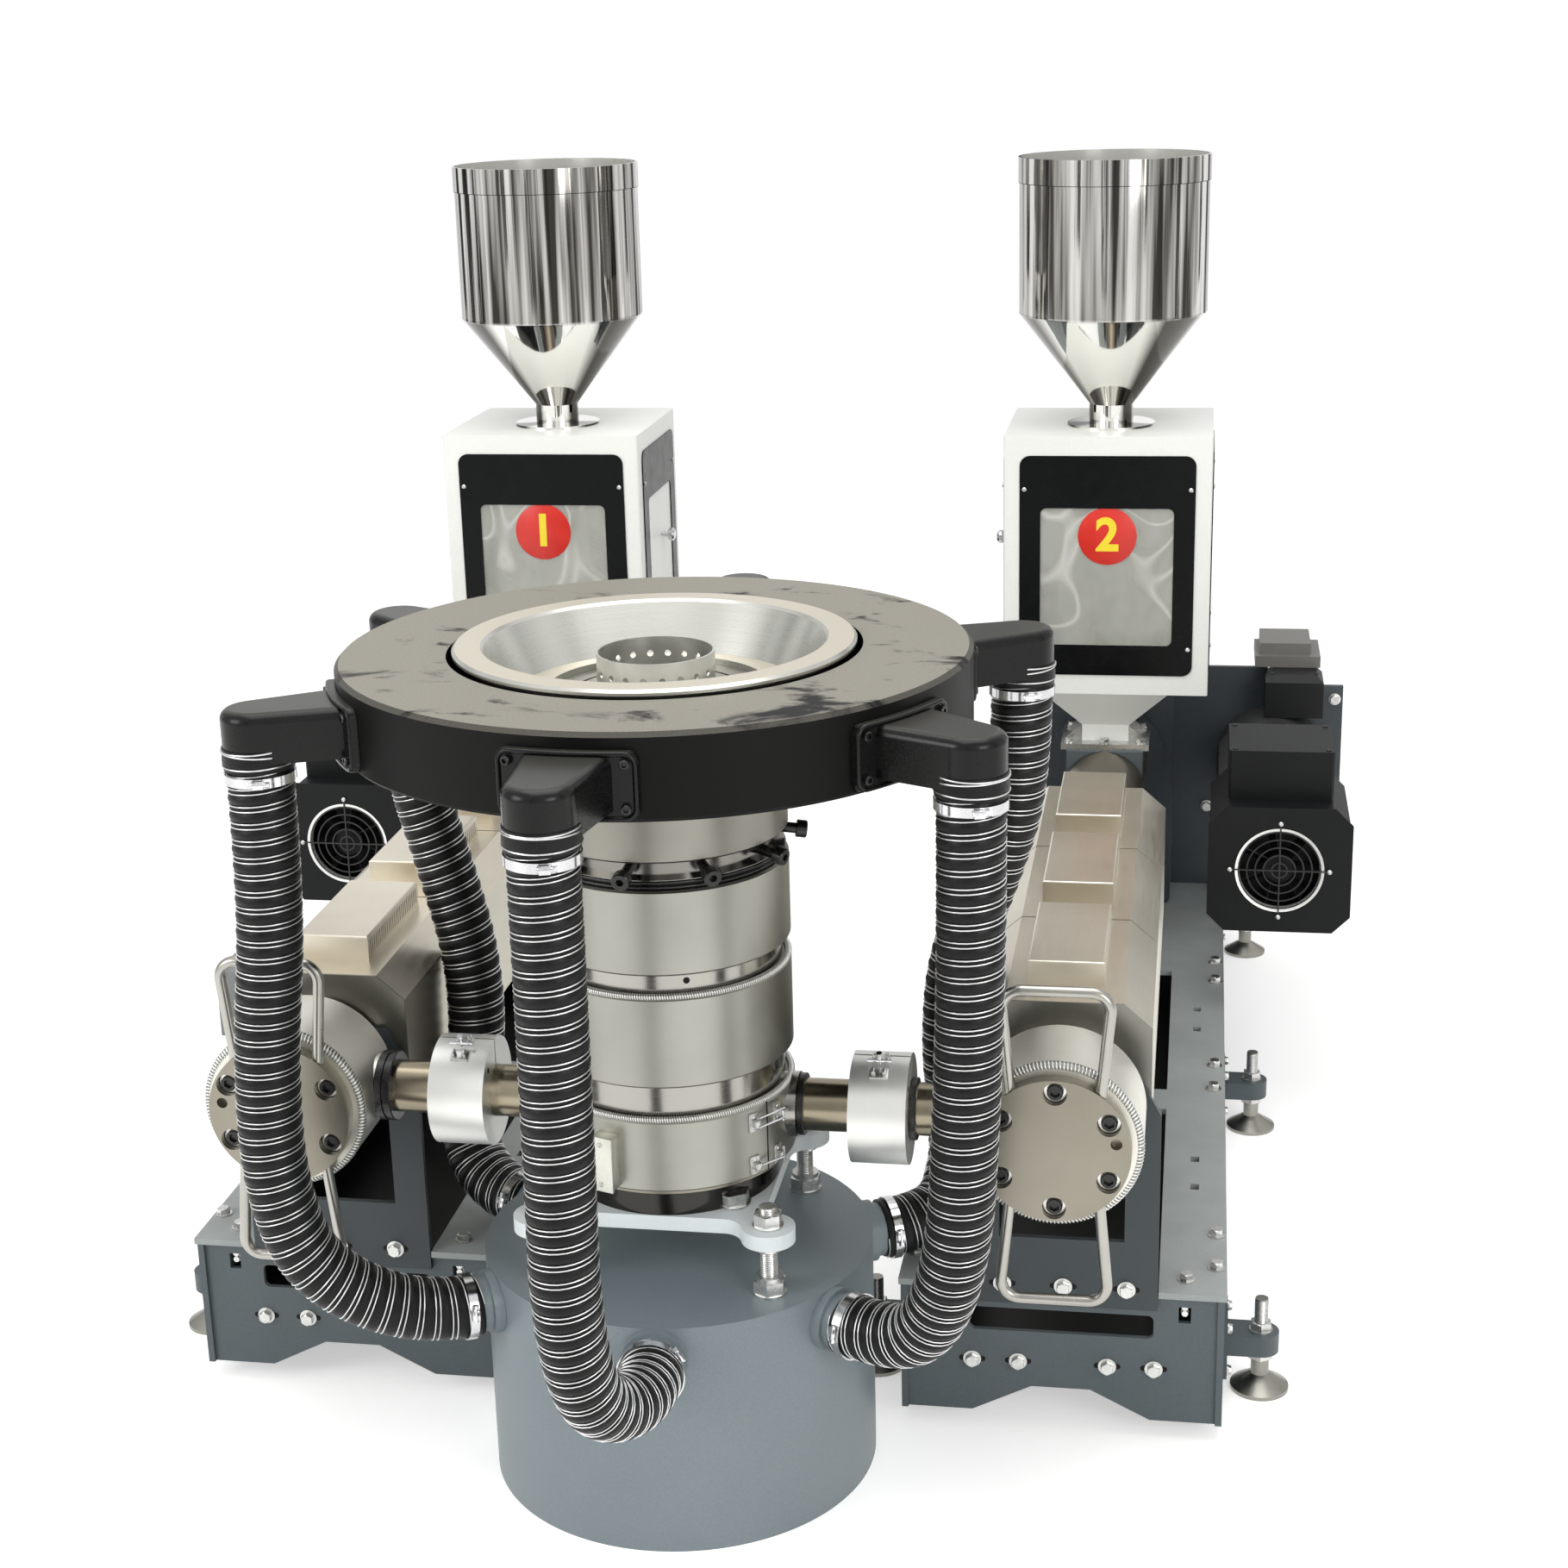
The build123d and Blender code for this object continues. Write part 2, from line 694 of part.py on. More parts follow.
for side in (-1, 1):
    outer = extruder_x + side * (frame_width / 2 + rail_overhang)
    rail_x = sorted((outer, outer - side * rail_width))
    rail_y = (side_y[0] - rail_overhang, side_y[1] + rail_overhang)
    rail = block(rail_x, rail_y, (rail_bottom, frame_top))
    for place in hole_places:
        hole_x = (outer - side * rail_width / 2 - rail_hole_width / 2, outer - side * rail_width / 2 + rail_hole_width / 2)
        hole_y = (frame_front + place - rail_hole_length / 2, frame_front + place + rail_hole_length / 2)
        rail -= block(hole_x, hole_y, (rail_bottom - overrun, frame_top + overrun))
    rails.append(rail)
between = (frame_x[0] - rail_overhang + rail_width, frame_x[1] + rail_overhang - rail_width)
bed = block(between, (bed_start, frame_back - end_plate), (rail_bottom, frame_top))
bar_y = (frame_front + cross_bar_place, frame_front + cross_bar_place + cross_bar_width)
bar = block(between, bar_y, (rail_bottom, frame_top))
save_pair("frame_rails", rails[0] + rails[1] + bed + bar)

# Levelling feet, three on each long side of a frame
brackets = []
feet = []
foot_places = (foot_inset, frame_length / 2 + foot_middle_shift, frame_length - foot_inset)
for side in (-1, 1):
    face = extruder_x + side * frame_width / 2
    foot_x = face + side * foot_out
    for place in foot_places:
        foot_y = frame_front + place
        bracket_z = (bracket_bottom, bracket_bottom + bracket_thickness)
        width_y = (foot_y - bracket_width / 2, foot_y + bracket_width / 2)
        bracket = block(sorted((face, foot_x)), width_y, bracket_z)
        bracket += post(bracket_width / 2, bracket_z, (foot_x, foot_y))
        plate_y = (foot_y - bracket_plate_width / 2, foot_y + bracket_plate_width / 2)
        plate_middle = bracket_bottom + bracket_thickness / 2
        plate_z = (plate_middle - bracket_plate_height / 2, plate_middle + bracket_plate_height / 2)
        bracket += block(sorted((face, face + side * bracket_plate)), plate_y, plate_z)
        bracket -= post(foot_stud_radius + fit, (0, foot_stud_top), (foot_x, foot_y))
        brackets.append(bracket)
        foot = Pos(foot_x, foot_y, 0) * turned(
            (0, 0), (foot_radius, 0), (foot_radius, foot_edge), (foot_neck_radius, foot_height),
            (foot_neck_radius, bracket_bottom - foot_collar_height), (foot_collar_radius, bracket_bottom - foot_collar_height),
            (foot_collar_radius, bracket_bottom), (foot_stud_radius, bracket_bottom),
            (foot_stud_radius, foot_stud_top), (0, foot_stud_top),
        )
        feet.append(foot)
save_pair("foot_brackets", *brackets)
save_pair("levelling_feet", *feet)

# Barrels and their front supports
barrel = shaft(barrel_radius, (support_front, barrel_back), (extruder_x, axis_height))
save_pair("barrels", barrel)
support_y = (support_front, frame_front)
support_half = frame_width / 2 + rail_overhang - rail_width - support_clear
support = prism_y(shifted(mirrored([
    (support_half, support_bottom), (support_half, support_shoulder), (support_top_width / 2, support_top),
]), extruder_x), support_y)
through_y = (support_front - overrun, frame_front + overrun)
window_half = support_window_width / 2
window_x = (extruder_x - window_half, extruder_x + window_half)
support_window = block(window_x, through_y, (support_window_bottom, axis_height))
support_window -= shaft(barrel_radius + support_seat_wall, through_y, (extruder_x, axis_height))
support -= support_window
support -= shaft(barrel_radius + fit, through_y, (extruder_x, axis_height))
save_pair("barrel_supports", support)

# Heater covers: an octagonal end panel, three zones with seams and a raised box on each
cover_outline = shifted(mirrored([
    (cover_half, -cover_drop), (cover_half, cover_shoulder), (cover_top_half, cover_rise),
]), extruder_x, axis_height)
cover_bore_y = (frame_front - overrun, barrel_back)
cover_bore = shaft(barrel_radius + fit, cover_bore_y, (extruder_x, axis_height))
save_pair("cover_end_panels", prism_y(cover_outline, (frame_front, cover_front)) - cover_bore)
zones = []
boxes = []
for index in range(zone_count):
    zone_front = cover_front + index * (cover_zone + cover_seam)
    zone = prism_y(cover_outline, (zone_front, zone_front + cover_zone)) - cover_bore
    zones.append(zone)
    middle = zone_front + cover_zone / 2 + cover_box_shift
    cover_top = axis_height + cover_rise
    box_x = (extruder_x - cover_box_width / 2, extruder_x + cover_box_width / 2)
    box_y = (middle - cover_box_length / 2, middle + cover_box_length / 2)
    box = block(box_x, box_y, (cover_top, cover_top + cover_box_height))
    box = fillet(box.edges().group_by(Axis.Z)[-1], cover_box_edge)
    louvre_step = (cover_box_length - 2 * louvre_margin) / louvre_count
    louvre_z = (cover_top + louvre_margin, cover_top + cover_box_height - louvre_margin)
    for slot in range(louvre_count):
        slot_middle = box_y[0] + louvre_margin + louvre_step / 2 + slot * louvre_step
        louvre_y = (slot_middle - louvre_width / 2, slot_middle + louvre_width / 2)
        for x in box_x:
            box -= block((x - louvre_depth, x + louvre_depth), louvre_y, louvre_z)
    boxes.append(box)
save_pair("heater_covers", *zones)
save_pair("cover_boxes", *boxes)
junction_x = (extruder_x + cover_half, extruder_x + cover_half + junction_depth)
junction_front = cover_front + junction_inset
junction_z = (axis_height + junction_rise, axis_height + junction_rise + junction_height)
junction = block(junction_x, (junction_front, junction_front + junction_length), junction_z)
save("junction_box", mirror(junction, about=Plane.YZ))

# Noses
axis = (extruder_x, axis_height)
flange_back = nose_front + nose_flange_thickness
nose_flange = shaft(nose_flange_radius, (nose_front, flange_back), axis)
for index in range(nose_bolt_count):
    angle = radians(90 + index * 360 / nose_bolt_count)
    place = (extruder_x + nose_bolt_circle * cos(angle), axis_height + nose_bolt_circle * sin(angle))
    nose_flange -= shaft(nose_bore_radius, (nose_front - overrun, nose_front + nose_bore_depth), place)
angle = radians(dowel_turn)
place = (extruder_x + nose_bolt_circle * cos(angle), axis_height + nose_bolt_circle * sin(angle))
nose_flange -= shaft(dowel_radius, (nose_front - overrun, nose_front + nose_bore_depth), place)
save_pair("nose_flanges", nose_flange)
band_front = flange_back + nose_ring_width
band_back = band_front + nose_band_length
nose = shaft(nose_ring_radius, (flange_back, band_front), axis)
nose += shaft(nose_band_radius, (band_front, band_back), axis)
nose += shaft(nose_neck_radius, (band_back, support_front), axis)
nose += spool(pipe_boss_radius, (nose_side, extruder_x), 0, axis_height)
save_pair("nose_blocks", nose)
handle_y = nose_front + nose_flange_thickness / 2
rim_cut = shaft(nose_flange_radius + fit, (nose_front - overrun, flange_back + overrun), axis)
handles = []
for side in (-1, 1):
    foot_z = axis_height + side * nose_flange_radius / 2
    top_z = axis_height + side * handle_height
    corners = [
        (extruder_x - handle_foot_half, handle_y, foot_z), (extruder_x - handle_top_half, handle_y, top_z),
        (extruder_x + handle_top_half, handle_y, top_z), (extruder_x + handle_foot_half, handle_y, foot_z),
    ]
    bow = FilletPolyline(*corners, radius=handle_corner)
    section = Plane(origin=bow @ 0, z_dir=bow % 0) * Circle(handle_radius)
    handles.append((sweep(section, path=bow) - rim_cut).solids().sort_by(SortBy.VOLUME)[-1])
save_pair("nose_handles", *handles)

# Feed throats
feed_x = (extruder_x - feed_block_width / 2, extruder_x + feed_block_width / 2)
feed_y_limits = (feed_y - feed_block_length / 2, feed_y + feed_block_length / 2)
feed_block = block(feed_x, feed_y_limits, (axis_height - feed_block_rise, axis_height + feed_block_rise))
for place in (feed_y_limits[0], feed_y_limits[1] - feed_leg):
    feed_block += block(feed_x, (place, place + feed_leg), (frame_top, axis_height))
feed_block -= cover_bore
save_pair("feed_blocks", *feed_block.solids())
plate_x = (extruder_x - feed_plate_width / 2, extruder_x + feed_plate_width / 2)
plate_y = (feed_y - feed_plate_length / 2, feed_y + feed_plate_length / 2)
feed_flange = block(plate_x, plate_y, (feed_plate_bottom, feed_plate_top))
for side in (-1, 1):
    rib_outline = [
        (extruder_x + side * (feed_neck_half + fit), feed_plate_top),
        (extruder_x + side * (feed_neck_half + feed_rib_reach), feed_plate_top),
        (extruder_x + side * (feed_neck_half + fit), feed_plate_top + feed_rib_height),
    ]
    for place in (-feed_rib_place, feed_rib_place):
        rib_y = (feed_y + place - feed_rib / 2, feed_y + place + feed_rib / 2)
        feed_flange += prism_y(rib_outline, rib_y)
save_pair("feed_flanges", feed_flange)
neck_x = (extruder_x - feed_neck_half, extruder_x + feed_neck_half)
neck_y = (feed_y - feed_neck_half, feed_y + feed_neck_half)
funnel = block(neck_x, neck_y, (feed_plate_top, feed_neck_top))
funnel += loft([
    Pos(extruder_x, feed_y, feed_neck_top) * Rectangle(2 * feed_neck_half, 2 * feed_neck_half),
    Pos(extruder_x, feed_y, box_bottom) * Rectangle(2 * feed_funnel_half, 2 * feed_funnel_half - overrun),
])
save_pair("feed_funnels", funnel)

# Hopper boxes with their black window panels, panes and weighing bins
box_x = (extruder_x - box_width / 2, extruder_x + box_width / 2)
box_y = (box_front, box_front + box_length)
scale_box = block(box_x, box_y, (box_bottom, box_top))
scale_box = fillet(scale_box.edges().filter_by(Axis.Z), box_edge)
scale_box -= block(
    (box_x[0] + box_sheet, box_x[1] - box_sheet), (box_y[0] + box_sheet, box_y[1] - box_sheet),
    (box_bottom + box_sheet, box_top - box_sheet))
window_z = (window_bottom, window_top)
panel_z = (panel_bottom, panel_top)
wall_y = (box_front - overrun, box_front + box_sheet + overrun)
scale_box -= rounded_plate(window_width + 2 * fit, window_z, wall_y, window_corner, extruder_x)
panel_y = (box_front - panel_thickness, box_front)
window_hole = rounded_plate(window_width, window_z, wall_y, window_corner, extruder_x)
front_panel = rounded_plate(panel_width, panel_z, panel_y, panel_corner, extruder_x) - window_hole
panels = [front_panel]
middle_y = box_front + box_length / 2
for side in (-1, 1):
    turned_panel = rounded_plate(panel_side_width, panel_z, (-panel_thickness, 0), panel_corner)
    turned_panel -= rounded_plate(window_side_width, window_z, (-overrun, overrun), window_corner)
    place = Pos(extruder_x + side * box_width / 2, middle_y, 0) * Rot(0, 0, side * 90)
    panels.append(place * turned_panel)
save_pair("scale_boxes", scale_box)
save_pair("window_panels", *panels)
pane_y = (box_front, box_front + pane_thickness)
save_pair("window_panes", rounded_plate(window_width, window_z, pane_y, window_corner, extruder_x))
bin_half = box_width / 2 - box_sheet
bin_y = (box_front + box_sheet + bin_gap, box_front + box_length - box_sheet)
weigh_bin = prism_y(shifted(mirrored([
    (bin_half - bin_taper, bin_bottom), (bin_half, bin_taper_top), (bin_half, bin_top),
]), extruder_x), bin_y)
save_pair("weigh_bins", weigh_bin)

# Hoppers
plate_z = (box_top, box_top + hopper_plate)
at_hopper = (extruder_x, hopper_y)
shoulder = hopper_top - hopper_cylinder
rim_low = hopper_top - hopper_rim
wall = hopper_wall
rim_radius = hopper_radius + hopper_rim_step
hopper = turned(
    (hopper_neck_radius, plate_z[1]), (hopper_neck_radius, hopper_neck_top), (hopper_radius, shoulder),
    (hopper_radius, rim_low), (rim_radius, rim_low), (rim_radius, hopper_top),
    (hopper_radius - wall, hopper_top), (hopper_radius - wall, shoulder + wall),
    (hopper_neck_radius - wall, hopper_neck_top + wall), (hopper_neck_radius - wall, plate_z[1]),
)
hopper_flange = post(hopper_plate_radius, plate_z, at_hopper)
hopper_flange -= post(hopper_neck_radius - wall, (box_top - overrun, plate_z[1] + overrun), at_hopper)
save_pair("hoppers", Pos(extruder_x, hopper_y, 0) * hopper + hopper_flange)

# Gearboxes and belt guards
gearbox_x = (extruder_x - gearbox_half, extruder_x + gearbox_half)
gearbox_start = gearbox_front + gearbox_flange
gearbox = block(gearbox_x, (gearbox_start, drive_plate_front), (frame_top, gearbox_top))
gearbox = fillet(gearbox.edges().filter_by(Axis.Y), gearbox_edge)
gearbox += shaft(gearbox_flange_radius, (gearbox_front, gearbox_start), axis)
save_pair("gearboxes", gearbox)
drive_outline = [
    (extruder_x - drive_plate_inner, frame_top), (frame_x[1], frame_top),
    (motor_x, drive_plate_motor_bottom), (drive_plate_outer, drive_plate_motor_bottom),
    (drive_plate_outer, drive_plate_low), (coupling_x[1], drive_plate_low),
    (drive_plate_step, drive_plate_top), (extruder_x - drive_plate_inner, drive_plate_top),
]
guard_y = (drive_back, drive_back + belt_guard_length)
guard_back = shaft(belt_guard_radius, guard_y, axis) + shaft(belt_guard_radius, guard_y, (motor_x, motor_z))
guard_back += prism_y([
    (extruder_x, axis_height - belt_guard_radius), (motor_x, motor_z - belt_guard_radius),
    (motor_x, motor_z + belt_guard_radius), (extruder_x, axis_height + belt_guard_radius),
], guard_y)
save_pair("drive_plates", prism_y(drive_outline, (drive_plate_front, drive_back)) + guard_back)

# Motors
motor_at = (motor_x, motor_z)
shroud_outline = octagon(motor_face_width - 2 * shroud_inset, motor_face_height - 2 * shroud_inset, motor_face_corner)
face_outline = octagon(motor_face_width, motor_face_height, motor_face_corner)
face_back = motor_front + motor_face_plate
shroud_back = face_back + shroud_length
duct_y = (motor_front - overrun, motor_front + fan_duct_depth)
shroud = prism_y(shifted(face_outline, *motor_at), (motor_front, face_back))
shroud += prism_y(shifted(shroud_outline, *motor_at), (face_back, shroud_back))
shroud -= shaft(fan_duct_radius, duct_y, motor_at)
rotor_y = (motor_front + fan_front_gap, motor_front + fan_front_gap + fan_depth)
pin_front = rotor_y[0]
shroud += shaft(fan_pin_radius, (pin_front, duct_y[1]), motor_at)
save_pair("fan_shrouds", shroud)
body_inset = 2 * (shroud_inset + motor_body_inset)
body_outline = octagon(motor_face_width - body_inset, motor_face_height - body_inset, motor_face_corner)
body_back = shroud_back + motor_body_length
motor = prism_y(shifted(body_outline, *motor_at), (shroud_back, body_back))
fin_pitch = (motor_face_height - body_inset - 2 * motor_face_corner) / fin_count
for index in range(fin_count):
    fin_z = motor_z + (index - (fin_count - 1) / 2) * fin_pitch
    gap_z = (fin_z - fin_gap / 2, fin_z + fin_gap / 2)
    for side in (-1, 1):
        side_x = motor_x + side * (motor_face_width - body_inset) / 2
        motor -= block((side_x - fin_depth, side_x + fin_depth), (shroud_back + fin_gap, body_back - fin_gap), gap_z)
motor += shaft(motor_flange_radius, (body_back, drive_plate_front), motor_at)
save_pair("motors", motor)

# Fan guards of round wires, and the rotors that turn behind them
guard_y = (motor_front - guard_wire, motor_front + guard_wire)
guard_rim = fan_duct_radius - guard_ring_inset
guard = shaft(guard_rim + guard_wire, guard_y, motor_at) - shaft(guard_rim - guard_wire, guard_y, motor_at)
for index in range(1, 1 + int((guard_rim - guard_wire) // guard_ring_pitch)):
    radius = guard_rim - index * guard_ring_pitch
    guard += shaft(radius + guard_wire, guard_y, motor_at) - shaft(radius - guard_wire, guard_y, motor_at)
spoke_y = (motor_front - 2 * guard_wire, motor_front)
for x, z in ((1, 0), (0, 1)):
    reach = (guard_wire + x * (guard_ear_place - guard_wire), guard_wire + z * (guard_ear_place - guard_wire))
    guard += block((motor_x - reach[0], motor_x + reach[0]), spoke_y, (motor_z - reach[1], motor_z + reach[1]))
    for side in (-1, 1):
        ear = (motor_x + side * x * guard_ear_place, motor_z + side * z * guard_ear_place)
        guard += shaft(guard_ear_radius, spoke_y, ear)
save_pair("fan_guards", guard)
rotor = shaft(fan_hub_radius, rotor_y, motor_at)
blade_root = fan_hub_radius / 2
blade = block((blade_root, fan_tip_radius), (-fan_blade / 2, fan_blade / 2), (-fan_depth / 2, fan_depth / 2))
blade = Rot(90, 0, 0) * (Rot(fan_blade_twist, 0, 0) * blade)
for index in range(fan_blade_count):
    turn = index * 360 / fan_blade_count
    middle = (motor_x, (rotor_y[0] + rotor_y[1]) / 2, motor_z)
    rotor += Pos(*middle) * Rot(0, turn, 0) * blade
rotor -= shaft(fan_pin_radius + running_fit, (rotor_y[0] - overrun, rotor_y[1] + overrun), motor_at)
save("fan_rotor_b", rotor)
save("fan_rotor_a", mirror(rotor, about=Plane.YZ))

# Terminal boxes, and the coupling housings with a two-step relay box on each
terminal_x = (motor_x - terminal_half, motor_x + terminal_half)
terminal_y = (terminal_front, terminal_front + terminal_length)
terminal = block(terminal_x, terminal_y, (motor_top, motor_top + terminal_height))
save_pair("terminal_boxes", chamfer(terminal.edges().filter_by(Axis.Z), terminal_edge))
coupling_z = (motor_z + motor_flange_radius, coupling_top)
coupling = block(coupling_x, (coupling_y, drive_plate_front), coupling_z)
coupling = chamfer(coupling.edges().group_by(Axis.Z)[-1], coupling_chamfer)
relay_y = (coupling_y + relay_length / 2, coupling_y + 3 * relay_length / 2)
relay = block(relay_x, relay_y, (coupling_top, coupling_top + relay_height / 2))
top_x = (relay_x[0] + relay_step / 2, relay_x[1] - relay_step)
top_y = (relay_y[0] + relay_step, relay_y[1])
relay += block(top_x, top_y, (coupling_top + relay_height / 2, coupling_top + relay_height))
save_pair("coupling_housings", coupling + relay)
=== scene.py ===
# %% [markdown]
# # A two-extruder blown-film unit
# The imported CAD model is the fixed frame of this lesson. Each cell adds one finish or one set of
# small pieces around it. Everything is in metres, with +Z up and the die's axis at the origin.

# %% Load the frame
import json
import math
from functools import partial

import bmesh
import bpy
from mathutils import Matrix, Vector
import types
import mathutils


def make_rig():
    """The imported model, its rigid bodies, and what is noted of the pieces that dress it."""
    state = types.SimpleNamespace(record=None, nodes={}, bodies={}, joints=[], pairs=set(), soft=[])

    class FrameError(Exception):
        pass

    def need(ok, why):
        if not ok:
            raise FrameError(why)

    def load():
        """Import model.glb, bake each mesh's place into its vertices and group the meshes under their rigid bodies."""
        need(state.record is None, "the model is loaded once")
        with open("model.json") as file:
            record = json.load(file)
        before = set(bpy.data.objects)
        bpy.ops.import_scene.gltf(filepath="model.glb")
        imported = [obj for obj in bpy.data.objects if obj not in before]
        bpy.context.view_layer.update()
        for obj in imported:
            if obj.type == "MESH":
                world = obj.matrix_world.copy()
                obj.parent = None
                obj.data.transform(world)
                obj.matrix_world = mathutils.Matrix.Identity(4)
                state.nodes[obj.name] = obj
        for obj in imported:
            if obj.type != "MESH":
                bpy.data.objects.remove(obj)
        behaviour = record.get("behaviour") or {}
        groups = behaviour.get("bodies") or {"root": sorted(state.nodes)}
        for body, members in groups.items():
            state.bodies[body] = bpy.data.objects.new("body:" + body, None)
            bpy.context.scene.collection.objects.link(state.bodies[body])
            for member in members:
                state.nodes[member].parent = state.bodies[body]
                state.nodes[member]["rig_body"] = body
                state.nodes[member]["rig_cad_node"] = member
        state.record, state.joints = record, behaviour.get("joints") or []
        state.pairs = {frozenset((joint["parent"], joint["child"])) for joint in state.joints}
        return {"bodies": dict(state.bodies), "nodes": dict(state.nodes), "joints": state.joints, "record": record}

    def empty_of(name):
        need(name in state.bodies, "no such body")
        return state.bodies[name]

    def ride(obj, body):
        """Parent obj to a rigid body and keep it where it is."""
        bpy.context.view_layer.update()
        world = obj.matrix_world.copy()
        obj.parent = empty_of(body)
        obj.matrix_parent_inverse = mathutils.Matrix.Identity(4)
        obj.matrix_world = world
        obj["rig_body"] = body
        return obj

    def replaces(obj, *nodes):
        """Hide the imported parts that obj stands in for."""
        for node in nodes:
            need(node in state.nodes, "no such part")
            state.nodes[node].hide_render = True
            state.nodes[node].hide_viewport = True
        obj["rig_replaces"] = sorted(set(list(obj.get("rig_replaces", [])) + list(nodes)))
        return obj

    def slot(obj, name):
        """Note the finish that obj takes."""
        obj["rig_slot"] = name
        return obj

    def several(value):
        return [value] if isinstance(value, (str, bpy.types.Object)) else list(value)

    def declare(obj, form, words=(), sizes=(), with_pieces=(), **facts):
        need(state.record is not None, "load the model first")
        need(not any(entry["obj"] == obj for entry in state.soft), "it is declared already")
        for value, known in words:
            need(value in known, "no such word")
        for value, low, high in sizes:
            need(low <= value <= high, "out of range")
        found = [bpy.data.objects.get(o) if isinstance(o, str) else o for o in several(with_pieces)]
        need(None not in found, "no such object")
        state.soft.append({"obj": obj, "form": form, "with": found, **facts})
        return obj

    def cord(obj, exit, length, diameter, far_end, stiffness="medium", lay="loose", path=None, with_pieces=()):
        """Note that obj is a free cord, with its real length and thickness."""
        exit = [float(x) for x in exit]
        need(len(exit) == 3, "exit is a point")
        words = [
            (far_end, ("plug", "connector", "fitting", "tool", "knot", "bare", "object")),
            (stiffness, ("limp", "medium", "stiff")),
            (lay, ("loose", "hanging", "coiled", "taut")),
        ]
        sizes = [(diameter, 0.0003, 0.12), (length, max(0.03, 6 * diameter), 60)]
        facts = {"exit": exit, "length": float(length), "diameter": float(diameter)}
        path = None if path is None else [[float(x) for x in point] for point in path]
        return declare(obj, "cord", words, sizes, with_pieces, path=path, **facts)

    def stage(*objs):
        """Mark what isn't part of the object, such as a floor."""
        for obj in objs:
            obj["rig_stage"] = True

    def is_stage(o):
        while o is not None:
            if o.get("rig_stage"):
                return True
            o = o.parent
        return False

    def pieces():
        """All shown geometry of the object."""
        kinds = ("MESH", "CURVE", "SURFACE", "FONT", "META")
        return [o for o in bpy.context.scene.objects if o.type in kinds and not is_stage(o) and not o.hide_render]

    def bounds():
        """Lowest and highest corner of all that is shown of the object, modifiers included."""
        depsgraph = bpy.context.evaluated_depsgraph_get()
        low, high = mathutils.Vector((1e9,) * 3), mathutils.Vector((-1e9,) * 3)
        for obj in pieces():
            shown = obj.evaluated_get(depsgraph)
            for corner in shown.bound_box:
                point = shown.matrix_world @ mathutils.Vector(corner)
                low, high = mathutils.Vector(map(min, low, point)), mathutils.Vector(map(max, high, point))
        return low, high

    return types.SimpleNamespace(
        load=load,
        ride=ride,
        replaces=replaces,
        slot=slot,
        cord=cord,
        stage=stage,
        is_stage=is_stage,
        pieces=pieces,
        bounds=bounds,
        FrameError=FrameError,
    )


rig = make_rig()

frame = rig.load()
nodes = frame["nodes"]
cad_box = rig.bounds()
MM = 0.001
print("CAD nodes:", len(nodes))

# %% [markdown]
# The camera is an ordinary 57 mm view from a raised spot in front of the unit. Its place and
# angles were fitted to the photograph, so that each piece lands where the picture shows it.

# %% Camera
YAW, PITCH, ROLL = (math.radians(angle) for angle in (9.72, 17.22, -1.50))
CAMERA_PLACE = Vector((0.73106, -3.25296, 2.07007))
LENS, SENSOR, FAR = 57.46, 36.0, 60.0


def camera_matrix():
    """The camera's matrix from its yaw, pitch and roll."""
    ahead = Vector((-math.sin(YAW) * math.cos(PITCH), math.cos(YAW) * math.cos(PITCH),
                    -math.sin(PITCH)))
    level = Vector((math.cos(YAW), math.sin(YAW), 0))
    above = level.cross(ahead)
    right = level * math.cos(ROLL) + above * math.sin(ROLL)
    up = above * math.cos(ROLL) - level * math.sin(ROLL)
    return Matrix.Translation(CAMERA_PLACE) @ Matrix((right, up, -ahead)).transposed().to_4x4()


scene = bpy.context.scene
lens = bpy.data.cameras.new("camera")
lens.lens, lens.sensor_width, lens.clip_end = LENS, SENSOR, FAR
camera = bpy.data.objects.new("camera", lens)
camera.matrix_world = camera_matrix()
scene.collection.objects.link(camera)
scene.camera = camera
scene.view_settings.view_transform = "Standard"
print("camera at:", CAMERA_PLACE)

# %% [markdown]
# A material here is a small graph of nodes. One function turns a hex colour, as a painter would
# write it, to the linear values that the renderer wants. Another adds any node with its inputs, so
# that a graph reads as a list of steps. A mix node finds its inputs by the same names for numbers
# and colours, and gives its colour at the third output.


# %% Colour and node helpers
def linear(code):
    """An sRGB hex colour as linear RGBA."""
    parts = [int(code[place:place + 2], 16) / 255 for place in (1, 3, 5)]
    colour = [part / 12.92 if part <= 0.04045 else ((part + 0.055) / 1.055) ** 2.4 for part in parts]
    return colour + [1.0]


def adder(tree):
    """The function that adds a node to this tree and gives its outputs. An input is a plain
    value, a hex colour or another node's output. A kind is short for one of the tree's own."""
    family = tree.bl_idname.replace("Tree", "")

    def add(kind, inputs=(), **settings):
        made = tree.nodes.new(kind if "Node" in kind else family + kind)
        for name, value in settings.items():
            setattr(made, name, value)
        for socket, value in inputs.items() if isinstance(inputs, dict) else enumerate(inputs):
            if isinstance(value, bpy.types.NodeSocket):
                tree.links.new(value, made.inputs[socket])
            else:
                is_colour = isinstance(value, str) and value.startswith("#")
                made.inputs[socket].default_value = linear(value) if is_colour else value
        return made.outputs

    return add


SLOTS = {}


def material(name, graph, on="", slot=None):
    """A material; graph fills its tree and gives its shader's inputs. It goes on the CAD nodes
    named in on. Slot is the frame's slot of the added pieces that wear it."""
    made = bpy.data.materials.new(name)
    made.use_nodes = True
    made.node_tree.nodes.clear()
    add = adder(made.node_tree)
    add("OutputMaterial", {"Surface": add("BsdfPrincipled", graph(add))[0]})
    for node in on.split():
        nodes[node].data.materials.clear()
        nodes[node].data.materials.append(made)
    SLOTS[made] = slot
    print(name, "on:", on or "added pieces")
    return made


